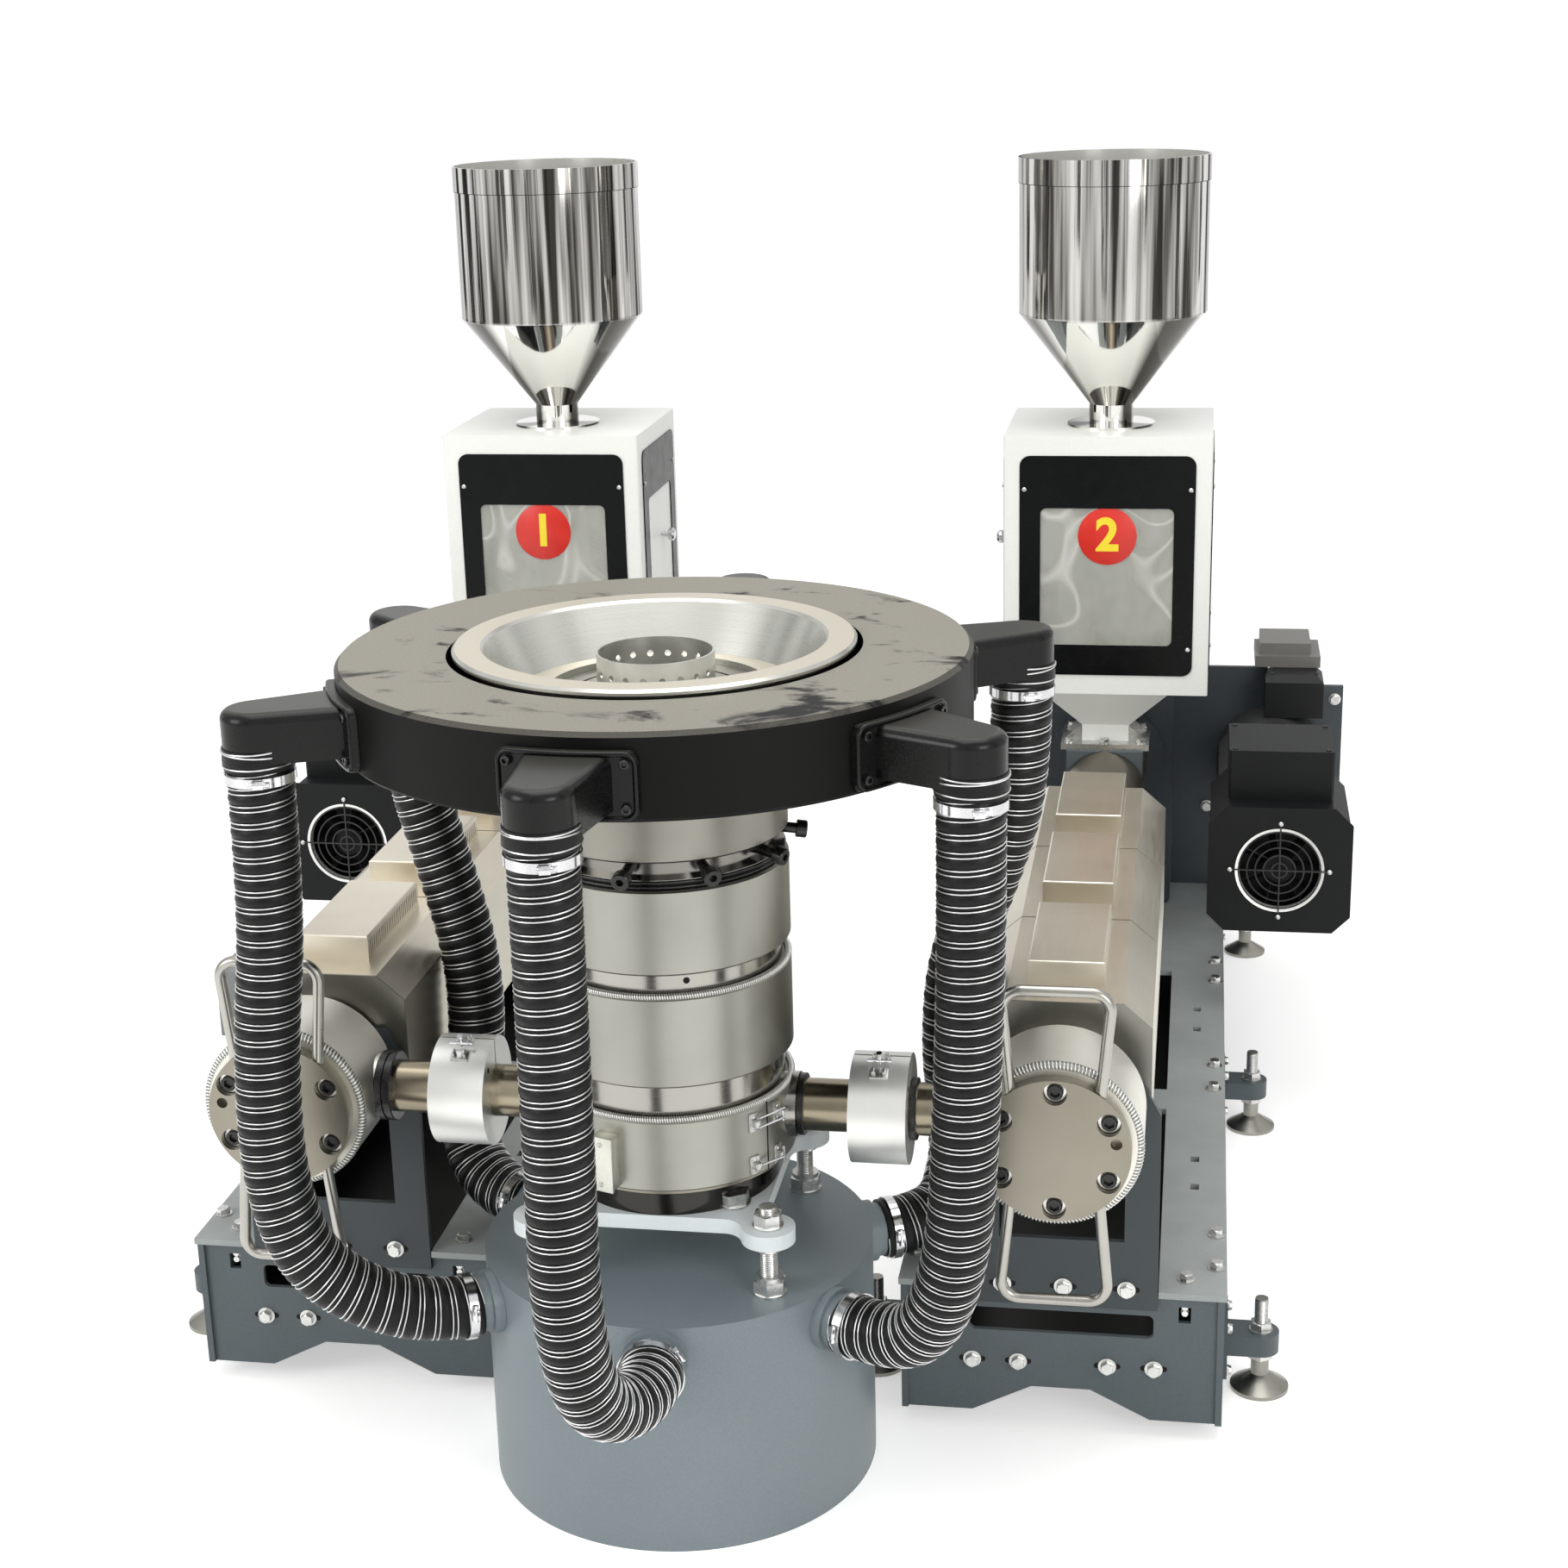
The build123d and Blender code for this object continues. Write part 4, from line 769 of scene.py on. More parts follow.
def at_length(line, wanted):
    """The point and direction at a length along a line."""
    gone = 0.0
    for before, after in zip(line, line[1:]):
        step = (after - before).length
        if gone + step >= wanted and step > 0:
            return before.lerp(after, (wanted - gone) / step), (after - before).normalized()
        gone += step
    return line[-1], (line[-1] - line[-2]).normalized()


# %% [markdown]
# The hose's skin is a tube that swells between the spiral's turns. Geometry Nodes sweeps a circle
# along the line, remembers how far along and how far round each point is, and then moves it in or
# out by a cosine of both, which makes a true screw form. The wires ride in the hollows: a second
# tree bends a straight line into a helix round the route, and sweeps a thin circle along it.

# %% Hose skin and wire trees
PITCH, WIRE_GAP, WIRE_RADIUS, SWELL = 0.0237, 0.0066, 0.0011, 0.0016
SKIN_STEP, SKIN_SIDES, WIRE_SIDES = 0.0034, 36, 5


def resampled(add, line, step):
    """The line as a curve with even steps, and how far along it each point is."""
    curve = add("MeshToCurve", {"Mesh": line})[0]
    even = add("ResampleCurve", {"Curve": curve, "Length": step}, mode="LENGTH")[0]
    return even, add("SplineParameter")["Length"]


def winding(add, along, pitch):
    """The spiral's angle at a length along the hose."""
    turns = add("ShaderNodeMath", [along, pitch], operation="DIVIDE")[0]
    return add("ShaderNodeMath", [turns, 2 * math.pi], operation="MULTIPLY")[0]


def close_sweep(add, shape, coat):
    """The end of a swept tree: smooth faces in their material."""
    close_tree(add, add("SetShadeSmooth", {0: shape, "Shade Smooth": True})[0], coat)


def skin_tree():
    """A hose's skin along a line."""
    tree, add, given = new_tree("hose_skin",
                                "Line:Geometry Radius:Float Pitch:Float Swell:Float Material:Material")
    even, length = resampled(add, given["Line"], SKIN_STEP)
    circle = add("CurvePrimitiveCircle", {"Resolution": SKIN_SIDES, "Radius": given["Radius"]})[0]
    factor = add("SplineParameter")["Factor"]
    marked = []
    for curve, label, value in ((even, "hose_along", length), (circle, "hose_round", factor)):
        marked.append(add("StoreNamedAttribute", {"Geometry": curve, "Name": label, "Value": value},
                          data_type="FLOAT", domain="POINT")[0])
    sweep = {"Curve": marked[0], "Profile Curve": marked[1], "Fill Caps": True}
    swept = add("CurveToMesh", sweep)[0]
    along, about = (add("InputNamedAttribute", {"Name": label}, data_type="FLOAT")[0]
                    for label in ("hose_along", "hose_round"))
    turn = add("ShaderNodeMath", [about, 2 * math.pi], operation="MULTIPLY")[0]
    phase = add("ShaderNodeMath", [winding(add, along, given["Pitch"]), turn], operation="SUBTRACT")[0]
    wave = add("ShaderNodeMath", [phase], operation="COSINE")[0]
    depth = add("ShaderNodeMath", [wave, given["Swell"]], operation="MULTIPLY")[0]
    normal = add("InputNormal")[0]
    shift = add("ShaderNodeVectorMath", {0: normal, "Scale": depth}, operation="SCALE")[0]
    close_sweep(add, add("SetPosition", {"Geometry": swept, "Offset": shift})[0], given["Material"])
    return tree


def wire_tree():
    """A wire wound round a line, from where it starts."""
    tree, add, given = new_tree("hose_wire", "Line:Geometry Radius:Float Pitch:Float Start:Float "
                                             "Step:Float Thickness:Float Material:Material")
    even, length = resampled(add, given["Line"], given["Step"])
    begun = add("ShaderNodeMath", [length, given["Start"]], operation="SUBTRACT")[0]
    angle = winding(add, begun, given["Pitch"])
    normal, tangent = add("InputNormal")[0], add("InputTangent")[0]
    across = add("ShaderNodeVectorMath", [tangent, normal], operation="CROSS_PRODUCT")[0]
    sides = []
    for axis, wave in ((normal, "COSINE"), (across, "SINE")):
        share = add("ShaderNodeMath", [angle], operation=wave)[0]
        sides.append(add("ShaderNodeVectorMath", {0: axis, "Scale": share}, operation="SCALE")[0])
    both = add("ShaderNodeVectorMath", sides, operation="ADD")[0]
    shift = add("ShaderNodeVectorMath", {0: both, "Scale": given["Radius"]}, operation="SCALE")[0]
    wound = add("SetPosition", {"Geometry": even, "Offset": shift})[0]
    circle = add("CurvePrimitiveCircle", {"Resolution": WIRE_SIDES, "Radius": given["Thickness"]})[0]
    swept = add("CurveToMesh", {"Curve": wound, "Profile Curve": circle, "Fill Caps": True})[0]
    close_sweep(add, swept, given["Material"])
    return tree


SKIN_TREE, WIRE_TREE = skin_tree(), wire_tree()
print("nodes in the trees:", len(SKIN_TREE.nodes), len(WIRE_TREE.nodes))
hose_fabric = finish("coated_hose_fabric", "#090909 #161616", (0.34, 0.52), 5.0, slot="hose_black",
                     patch=30.0, bump=0.35, **DULL)
hose_wire = metal("bright_spring_wire", "#d4d4d4 #eeeeee", (0.28, 0.38), 6.0, slot="guard_chrome",
                  patch=25.0)

# %% [markdown]
# A worm-drive clamp holds each end of a hose: a thin stainless band with a small screw housing,
# close to the end. Above it the fabric's cuff is pulled up over the elbow, with one turn of wire.

# %% Lay the hoses
CLAMP_BAND, CLAMP_INSET, CLAMP_SIDE = 0.013, (0.013, 0.016), Vector((0.3, -1.0, 0.2))
WIRE_STEPS = 26


def clamp_template():
    """A clamp one unit in radius, round the Z axis."""
    half = CLAMP_BAND / HOSE_DIAMETER
    band = stack((1.02, -half), (1.06, -half), (1.06, half), (1.02, half), sides=48, closed=True)
    house = block((1.04, -0.16, -half * 0.9), (1.2, 0.16, half * 0.9), 0.02)
    screw = stack((0.08, 0.0), (0.08, 0.42), ("hex", 0.085, 0.42), ("hex", 0.085, 0.54))
    return joined(band, house, (screw, Matrix.Translation((1.13, 0.2, 0)) @ TO_FRONT))


for number, route in enumerate(HOSE_ROUTES, start=1):
    hose, radius = f"hose_{number}", HOSE_DIAMETER / 2
    route = [tuple(part * MM for part in point) for point in route]
    line = route_line(hose + "_line", route)
    length = line_length(line)
    swept = run_tree(hose + "_skin", line_mesh(hose, line), SKIN_TREE, Radius=radius - SWELL,
                     Pitch=PITCH, Swell=SWELL, Material=hose_fabric)
    skin = new_piece(hose + "_skin", swept, hose_fabric)
    coils = bmesh.new()
    for start in (PITCH / 2 - WIRE_GAP / 2, PITCH / 2 + WIRE_GAP / 2):
        coil = run_tree(hose + "_coil", line_mesh(hose, line), WIRE_TREE, Start=start, Pitch=PITCH,
                        Radius=radius - WIRE_RADIUS, Step=PITCH / WIRE_STEPS,
                        Thickness=WIRE_RADIUS, Material=hose_wire)
        coils.from_mesh(coil)
        bpy.data.meshes.remove(coil)
    wires = new_piece(hose + "_wires", to_mesh(coils, hose + "_wires", 80.0), hose_wire)
    spots = [(*at_length(line, inset), CLAMP_SIDE)
             for inset in (CLAMP_INSET[0], length - CLAMP_INSET[1])]
    clamps = repeat(hose + "_clamps", chrome_wire, clamp_template(), spots, radius)
    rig.replaces(skin, hose)
    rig.cord(skin, exit=route[0], length=length, diameter=HOSE_DIAMETER, far_end="object",
            stiffness="stiff", lay="hanging", path=line, with_pieces=[wires, clamps])
    print(hose, "length", round(length, 3))

# %% [markdown]
# Fasteners are stock parts, so each kind is made once, in millimetres: a washer and a hexagon for a
# bolt, a knurled cap with its hexagon socket for a socket screw, a low dome for a panel screw. The
# tree sets them where the CAD model leaves their places, and mirrored spots serve extruder A.


# %% Fastener templates
def hex_bolt(flats, washer, height):
    """A hexagon head on a washer, standing up Z."""
    half = flats / 2
    return stack((washer / 2, -0.5), (washer / 2, 2.2), (half * 1.2, 2.4), ("hex", half, 2.6),
                 ("hex", half, height - 1), (half * 0.94, height))


def socket_screw(head, height, flats):
    """A cap head with a deep hexagon socket."""
    return stack((head / 2, -1), (head / 2, height - 1.2), (head / 2 - 1.2, height),
                 ("hex", flats / 2, height), ("hex", flats / 2, height * 0.45))


def pan_screw(head, height, flats):
    """A low domed head with a small socket."""
    return stack((head / 2, -0.5), (head / 2, height * 0.4), (head * 0.36, height * 0.85),
                 (head * 0.27, height), ("hex", flats / 2, height),
                 ("hex", flats / 2, height * 0.4), sides=18)


def stud_nut(hole, flats, washer, height):
    """A washer and nut round a stud that is already there."""
    half = flats / 2
    return stack((hole, 0), (washer / 2, 0), (washer / 2, 2.6), ("hex", half, 2.6),
                 ("hex", half, height - 1.2), (half * 0.93, height), (hole, height), closed=True)


def thread(radius, pitch, length, depth=0.8):
    """The crests and roots of a thread round a stud."""
    turns = int(length / pitch)
    rings = [(radius + (depth if step % 2 else 0.05), step * pitch / 2)
             for step in range(2 * turns + 1)]
    return stack(*rings, (radius - 0.6, turns * pitch), (radius - 0.6, 0), sides=16, closed=True)


def oblong(length, width, thick):
    """A thin dark mark with round ends: what shows of a slotted hole behind a washer."""
    middle = (length - width) / 2
    ends = [(stack((width / 2, 0), (width / 2, thick * 0.98), sides=12),
             Matrix.Translation((shift, 0, 0))) for shift in (middle, -middle)]
    return joined(block((-middle, -width / 2, 0), (middle, width / 2, thick)), *ends)


def rod(radius, length):
    """A round bar standing up Z."""
    return stack((radius, 0), (radius, length), sides=10)


def spot(x, y, z, aim, side=(1, 0, 0)):
    """A spot given in millimetres."""
    return Vector((x, y, z)) * MM, Vector(aim), Vector(side)


def about_die(radius, turn, height):
    """A place round the die, in millimetres; the turn runs from the front towards +X."""
    angle = math.radians(turn)
    return radius * math.sin(angle), -radius * math.cos(angle), height


FRONT, BACK, UP, DOWN, RIGHT, LEFT = (0, -1, 0), (0, 1, 0), (0, 0, 1), (0, 0, -1), (1, 0, 0), (-1, 0, 0)

# %% [markdown]
# The frames are bolted plate: M12 flange bolts through slotted holes in both end plates, three more
# through each barrel support, and a row down each rail. The slots are longer than the washers, so
# their dark ends show on both sides.

# %% Frame bolts
AXIS_X, AXIS_Z = 556.0, 567.0
RAIL_TOP = 249
bolts = [spot(x, y, 117, aim) for y, aim in ((94, FRONT), (2319, BACK)) for x in (423, 492, 625, 694)]
bolts += [spot(AXIS_X + x, 84, 252, FRONT) for x in (-87, 3, 96)]
rail_places = [(739, 129), (739, 2280), (783, 276), (783, 171), (781, 925), (779, 824),
               (783, 1330), (783, 1430), (781, 1860), (783, 2140)]
rail_bolts = [spot(rail_x, y, RAIL_TOP, UP) for x, y in rail_places for rail_x in (x, 2 * AXIS_X - x)]
repeat("frame_bolts", zinc_plate, hex_bolt(18, 27, 12), pairs(bolts + rail_bolts))
marks = [(place - aim * 0.1 * MM, aim, side) for place, aim, side in pairs(bolts)]
repeat("frame_slots", dark_slot, oblong(40, 9, 0.5), marks)
repeat("window_nuts", zinc_plate, hex_bolt(10, 12, 7),
       pairs([spot(x, 106, z, FRONT, UP) for x in (374, 738) for z in (209, 219)]))
FEET_Y = (262, 1217, 2151)
repeat("bracket_screws", zinc_plate, hex_bolt(13, 17, 7), pairs(
    [spot(x, y + shift, z, aim) for x, aim in ((804, RIGHT), (308, LEFT)) for y in FEET_Y
     for shift in (-36, 36) for z in (46, 118)]))

# %% [markdown]
# Each levelling foot is a plated stud with rolled threads, a nut that locks it on its bracket and
# another below. The stand of the die uses the same parts at M24. A thread is drawn as crests and
# roots at the real pitch, since a true helix would look no different at this scale.

# %% Studs, threads and nuts
STUD_OUT = 163
feet = [(x, y) for x in (855, 257) for y in FEET_Y]
stand = [(x, y) for x in (-STUD_OUT, STUD_OUT) for y in (-STUD_OUT, STUD_OUT)]
for name, template, height, aim in (
    ("foot_threads", thread(10, 2.5, 54), 99, UP),
    ("foot_nuts", stud_nut(10.6, 30, 37, 16), 99, UP),
    ("foot_lower_nuts", stud_nut(17.0, 36, 40, 13), 66, DOWN),
):
    repeat(name, zinc_plate, template, pairs([spot(*place, height, aim) for place in feet]))
for name, template, height in (
    ("stand_threads", thread(12, 3.0, 54), 376),
    ("stand_top_nuts", stud_nut(11.9, 36, 44, 21), 455),
    ("stand_foot_nuts", stud_nut(20.0, 42, 48, 22), 352),
    ("stand_top_threads", thread(12, 3.0, 11), 474),
):
    repeat(name, zinc_plate, template, [spot(*place, height, UP) for place in stand])
repeat("base_bolt", zinc_plate, hex_bolt(46, 46, 21), [spot(100, -98, 455, UP, (0.5, 0.87, 0))])

# %% [markdown]
# Round the die's neck stand ten black adjusting bolts. They push on the die's outer lip to centre
# it, so that the film comes out evenly thick. Each one reaches out past the head above it and
# leans a little down. The black packing above the top heater shows as two beads, and a thin bare
# lip shows under the lowest one.

# %% Die adjusting bolts and packing
ADJUSTERS, ADJUSTER_OUT, ADJUSTER_HEIGHT = [36 * index - 4.7 for index in range(10)], 158, 974
adjuster = stack((7.5, -4), (7.5, 30), (12.5, 30), (12.5, 43), (11.2, 44.5), ("hex", 5, 44.5),
                 ("hex", 5, 36), sides=20)
adjuster_spots = []
for turn in ADJUSTERS:
    out = Vector(about_die(1, turn, 0))
    aim = out + Vector((0, 0, -0.16))
    adjuster_spots.append(spot(*about_die(ADJUSTER_OUT, turn, ADJUSTER_HEIGHT), aim, UP))
repeat("die_adjusters", black_oxide, adjuster, adjuster_spots)
foot_lip = stack((149, 496.5), (168, 496.5), (169, 497.5), (169, 501.5), (168, 502.5), (149, 502.5),
                 sides=72, closed=True)
new_piece("die_foot_lip", to_mesh(joined(millimetres(foot_lip)), "die_foot_lip", 40.0), faced_steel)
packing = [millimetres(stack((168, -3.4), (171.2, -2), (172.2, 0), (171.2, 2), (168, 3.4),
                             sides=72, closed=True), (0, 0, height)) for height in (949.8, 956.6)]
new_piece("die_packing_rings", to_mesh(joined(*packing), "die_packing_rings", 60.0), black_oxide)

# %% [markdown]
# A heater jacket is held at its edge by a garter spring: a fine closed coil laid in a ring. The
# hose's wire tree makes one from a circle, with another pitch and thickness, over a darker core
# that stands for the shade between its turns. Springs lie on the two lower jackets of the die and
# round the front of each extruder's nose.

# %% Garter springs
spring_metal = metal("garter_spring_steel", "#dededa #f0f0ec", (0.28, 0.36), 4.0,
                     slot="zinc_steel", patch=20.0)
spring_shade = metal("shade_between_coils", "#8d8d88 #9b9b96", (0.45, 0.55), 4.0, patch=20.0)
SPRING_STEPS, COIL_STEPS = 240, 8


def hoop(radius, width, height, sides=96, steps=10):
    """A ring with an oval section, lying flat."""
    rings = [(radius - width * math.cos(angle), -height * math.sin(angle)) for angle in around(steps)]
    return stack(*rings, sides=sides, closed=True)


def garter_spring(name, centre, radius, axis, coil, pitch, wire):
    """A closed coil laid in a ring over a dark core, all sizes in millimetres."""
    x, y, z = centre
    line = []
    for angle in around(SPRING_STEPS):
        one, two = radius * math.cos(angle), radius * math.sin(angle)
        point = (x + one, y + two, z) if axis == "Z" else (x + one, y, z + two)
        line.append([part * MM for part in point])
    mesh = run_tree(name, line_mesh(name, line, closed=True), WIRE_TREE, Start=0.0,
                    Radius=coil * MM, Pitch=pitch * MM, Step=pitch * MM / COIL_STEPS,
                    Thickness=wire * MM, Material=spring_metal)
    inner = coil - wire * 0.4
    core = joined(millimetres(hoop(radius, inner, inner), centre, HERE if axis == "Z" else TO_FRONT))
    new_piece(name + "_core", to_mesh(core, name + "_core", 60.0), spring_shade)
    new_piece(name, mesh, spring_metal)


garter_spring("lower_jacket_spring", (0, 0, 611), 171.5, "Z", 4.0, 3.4, 1.0)
garter_spring("middle_jacket_spring", (0, 0, 793), 171.5, "Z", 4.0, 3.4, 1.0)
garter_spring("nose_spring_a", (-AXIS_X, -91, AXIS_Z), 114.5, "Y", 7.0, 5.0, 1.3)
garter_spring("nose_spring_b", (AXIS_X, -91, AXIS_Z), 114.5, "Y", 7.0, 5.0, 1.3)

# %% [markdown]
# Socket screws close each nose flange. They sit on bright washers in round spot-faced pits, and
# their heads stay a little below the face. Black screws also hold the elbows, whose flanges have a
# raised bead round the edge, and the hose's fabric is pulled up over each elbow's end. The bead is
# swept by hand, point by point, because it has to bend with the ring.

# %% Nose screws, elbow screws and cuffs
BOLT_CIRCLE, NOSE_FACE = 85.4, -106
nose_spots = []
for index in range(6):
    angle = math.radians(90 + 60 * index)
    x, z = AXIS_X + BOLT_CIRCLE * math.cos(angle), AXIS_Z + BOLT_CIRCLE * math.sin(angle)
    nose_spots.append(spot(x, NOSE_FACE, z, FRONT))
washer = stack((11.6, 0.2), (16.0, 0.2), (16.0, 1.8), (15.4, 2.4), (11.6, 2.4), sides=40, closed=True)
repeat("nose_washers", spring_metal, washer, pairs(nose_spots))
repeat("nose_screws", black_oxide, socket_screw(22.6, 9, 13), pairs(nose_spots))
INLETS = [60 * index - 2.5 for index in range(6)]
FLANGE_FACE, FLANGE_HEIGHT, SPOUT_OUT, SPOUT_HEIGHT = 444, 1177, 545, 1134
repeat("elbow_screws", black_oxide, socket_screw(13, 7, 6), [
    spot(*about_die(FLANGE_FACE, turn + offset, height), about_die(1, turn + offset, 0), UP)
    for turn in INLETS for offset in (-9.6, 9.6) for height in (1149, 1206)])


def ring_bead(turn, half_wide, half_high, corner, thick, sides=7):
    """A round bead along the edge of an elbow's flange, bent to the ring's curve."""
    path = []
    for quarter, (wide, high) in enumerate(((1, 1), (-1, 1), (-1, -1), (1, -1))):
        for step in range(6):
            angle = math.radians(90 * quarter + 18 * step)
            out_x, out_y = math.cos(angle), math.sin(angle)
            path.append((wide * (half_wide - corner) + corner * out_x,
                         high * (half_high - corner) + corner * out_y, out_x, out_y))
        if quarter in (0, 2):
            x, y, out_x, out_y = path[-1]
            path += [(x * (1 - step / 4), y, out_x, out_y) for step in range(1, 8)]
    loops = []
    for along, rise, out_x, out_y in path:
        loop = []
        for angle in around(sides):
            reach, lift = thick * math.cos(angle), thick * math.sin(angle)
            bent = turn + math.degrees((along + reach * out_x) / FLANGE_FACE)
            place = about_die(FLANGE_FACE + lift, bent, FLANGE_HEIGHT + rise + reach * out_y)
            loop.append(Vector(place) * MM)
        loops.append(loop)
    return tube(loops, closed=True)


beads = joined(*[ring_bead(turn, 87, 41, 14, 3.6) for turn in INLETS])
new_piece("elbow_beads", to_mesh(beads, "elbow_beads", 70.0), elbow_coat)
cuff_spots = [spot(*about_die(SPOUT_OUT, turn, SPOUT_HEIGHT), UP, about_die(1, turn, 0))
              for turn in INLETS]
cuff = stack((46.3, 0), (47.0, 0), (47.6, 7), (48.3, 13), (47.5, 19), (48.0, 25), (47.2, 30),
             (46.3, 30), sides=48, closed=True)
repeat("hose_cuffs", hose_fabric, cuff, cuff_spots)
cuff_wires = [(hoop(48.2, 1.1, 1.1, 60, 6),
               Matrix.Translation((0, 0, height)) @ Matrix.Rotation(tilt, 4, "Y"))
              for height, tilt in ((7, 0.03), (22, -0.05), (28, 0.04))]
repeat("hose_cuff_wires", hose_wire, joined(*cuff_wires), cuff_spots)

# %% [markdown]
# Small domed screws hold the thin panels, the lids and the fan plates, and hexagon bolts hold the
# feed flanges and the drive plates. Only their places, sizes and coats differ, so one loop reads
# them from a table and sets each row on both extruders.

# %% Panel, fan, lid, flange and drive plate screws
FAN_X, FAN_Z = 891, 538
PANEL_FACE, PANEL_HEIGHTS, FEED_TOP, DRIVE_FACE = 1505.5, (865, 1177), 659, 1900
panel_spots = [spot(x, PANEL_FACE, z, FRONT) for x in (398, 714) for z in PANEL_HEIGHTS]
panel_spots += [spot(x, y, z, aim) for x, aim in ((756.5, RIGHT), (355.5, LEFT))
                for y in (1550, 1820) for z in PANEL_HEIGHTS]
lid_spots = [spot(FAN_X + x, y, 748, UP) for x in (-84, 84) for y in (1236, 1395)]
lid_spots += [spot(x, y, 738, UP) for x in (886, 977) for y in (1822, 1862)]
for name, coat, template, spots in (
    ("panel_screws", zinc_plate, pan_screw(9, 3.2, 3), panel_spots),
    ("fan_screws", zinc_plate, pan_screw(9, 3.0, 3), [
        spot(FAN_X + x, 1162.4, FAN_Z + z, FRONT) for x, z in ((90, 0), (-90, 0), (0, 90), (0, -90))]),
    ("lid_screws", black_oxide, pan_screw(9, 3.0, 3), lid_spots),
    ("feed_screws", zinc_plate, hex_bolt(16, 21, 9), [
        spot(AXIS_X + x, 1622 + y, FEED_TOP, UP)
        for x, y in ((-70, -58), (-70, 58), (70, -58), (70, 58), (0, -62), (0, 62))]),
    ("drive_plate_bolts", zinc_plate, hex_bolt(18, 25, 11), [
        spot(x, DRIVE_FACE, z, FRONT)
        for x, z in ((1018, 425), (1018, 665), (760, 425), (706, 690), (450, 700))]),
):
    repeat(name, coat, template, pairs(spots))

# %% [markdown]
# The jackets are split bands drawn together by over-centre catches. Each catch has two small
# plates riveted to the band, a wire loop or a bolt between them, and a cross bar to pull on. They
# are made from plates and rods set on spots, since each one follows the band's curve.

# %% Catches on the lower jacket
BAND, PLATE_TURNS, PLATE_HEIGHTS = 176.0, (51, 67), (586, 521)
plates = [(turn, height) for turn in PLATE_TURNS for height in PLATE_HEIGHTS]


def on_band(turn, height, out=0.0):
    """A spot on the lower jacket, aimed outwards with its side upwards."""
    return spot(*about_die(BAND + out, turn, height), about_die(1, turn, 0), UP)


def round_band(turn, height, out):
    """A spot on the lower jacket, aimed along its curve."""
    return spot(*about_die(BAND + out, turn, height), about_die(1, turn + 90, 0), UP)


def up_band(turn, height, out):
    """A spot on the lower jacket, aimed upwards."""
    return spot(*about_die(BAND + out, turn, height), UP, RIGHT)


terminal = joined(block((-39, -17, -2), (39, 17, 22), 2.0), block((-41, -19, 19), (41, 19, 25), 1.5))
for name, coat, template, spots in (
    ("catch_plates", zinc_plate, block((-14, -8.5, -0.5), (14, 8.5, 2.2), 1.0), [
        on_band(*place) for place in plates]),
    ("catch_rivets", zinc_plate, pan_screw(6, 2, 2), [
        on_band(turn, height + rise, 2) for turn, height in plates for rise in (-8, 8)]),
    ("catch_bars", chrome_wire, rod(1.7, 50), [
        round_band(52, 579, 7.5), round_band(52, 593, 7.5), round_band(50, 521, 8.0)]),
    ("catch_loops", chrome_wire, rod(1.9, 15), [up_band(52, 579, 7.5), up_band(67, 574, 12.0)]),
    ("catch_pulls", chrome_wire, rod(2.2, 24), [up_band(68, 509, 9.5)]),
    ("catch_lugs", zinc_plate, block((-5, -5, 0), (5, 5, 9), 1.0), [
        on_band(*place, 2) for place in plates]),
    ("jacket_split", dark_slot, block((-52, -0.9, -1), (52, 0.9, 0.4)), [on_band(60, 556, 0.1)]),
    ("jacket_terminals", bin_steel, terminal, [on_band(-19, 548)]),
    ("terminal_screws", zinc_plate, pan_screw(7, 2.5, 2), [
        on_band(-19, height, 25) for height in (518, 578)]),
    ("groove_hole", dark_slot, stack((4.6, -0.5), (4.6, 0.4), sides=20), [
        spot(*about_die(163, 21, 812), about_die(1, 21, 0), UP)]),
):
    repeat(name, coat, template, spots)

# %% [markdown]
# Each pipe heater has one catch of the same kind on top, turned a little to the front where a
# hand reaches it, and a screw hole in its end face. Black collars and nuts close the pipe's joints
# beside it.

# %% Catches and collars on the melt pipes
PIPE_BAND, HOLE_OUT, HOLE_TURN = 80, 62, 0.7


def round_pipe(turn, x, out=0.0):
    """A spot on the right-hand pipe heater, turned from straight up towards the front."""
    angle = math.radians(turn)
    aim = Vector((0, -math.sin(angle), math.cos(angle)))
    return Vector((x, 0, AXIS_Z)) * MM + aim * (PIPE_BAND + out) * MM, aim, Vector(RIGHT)


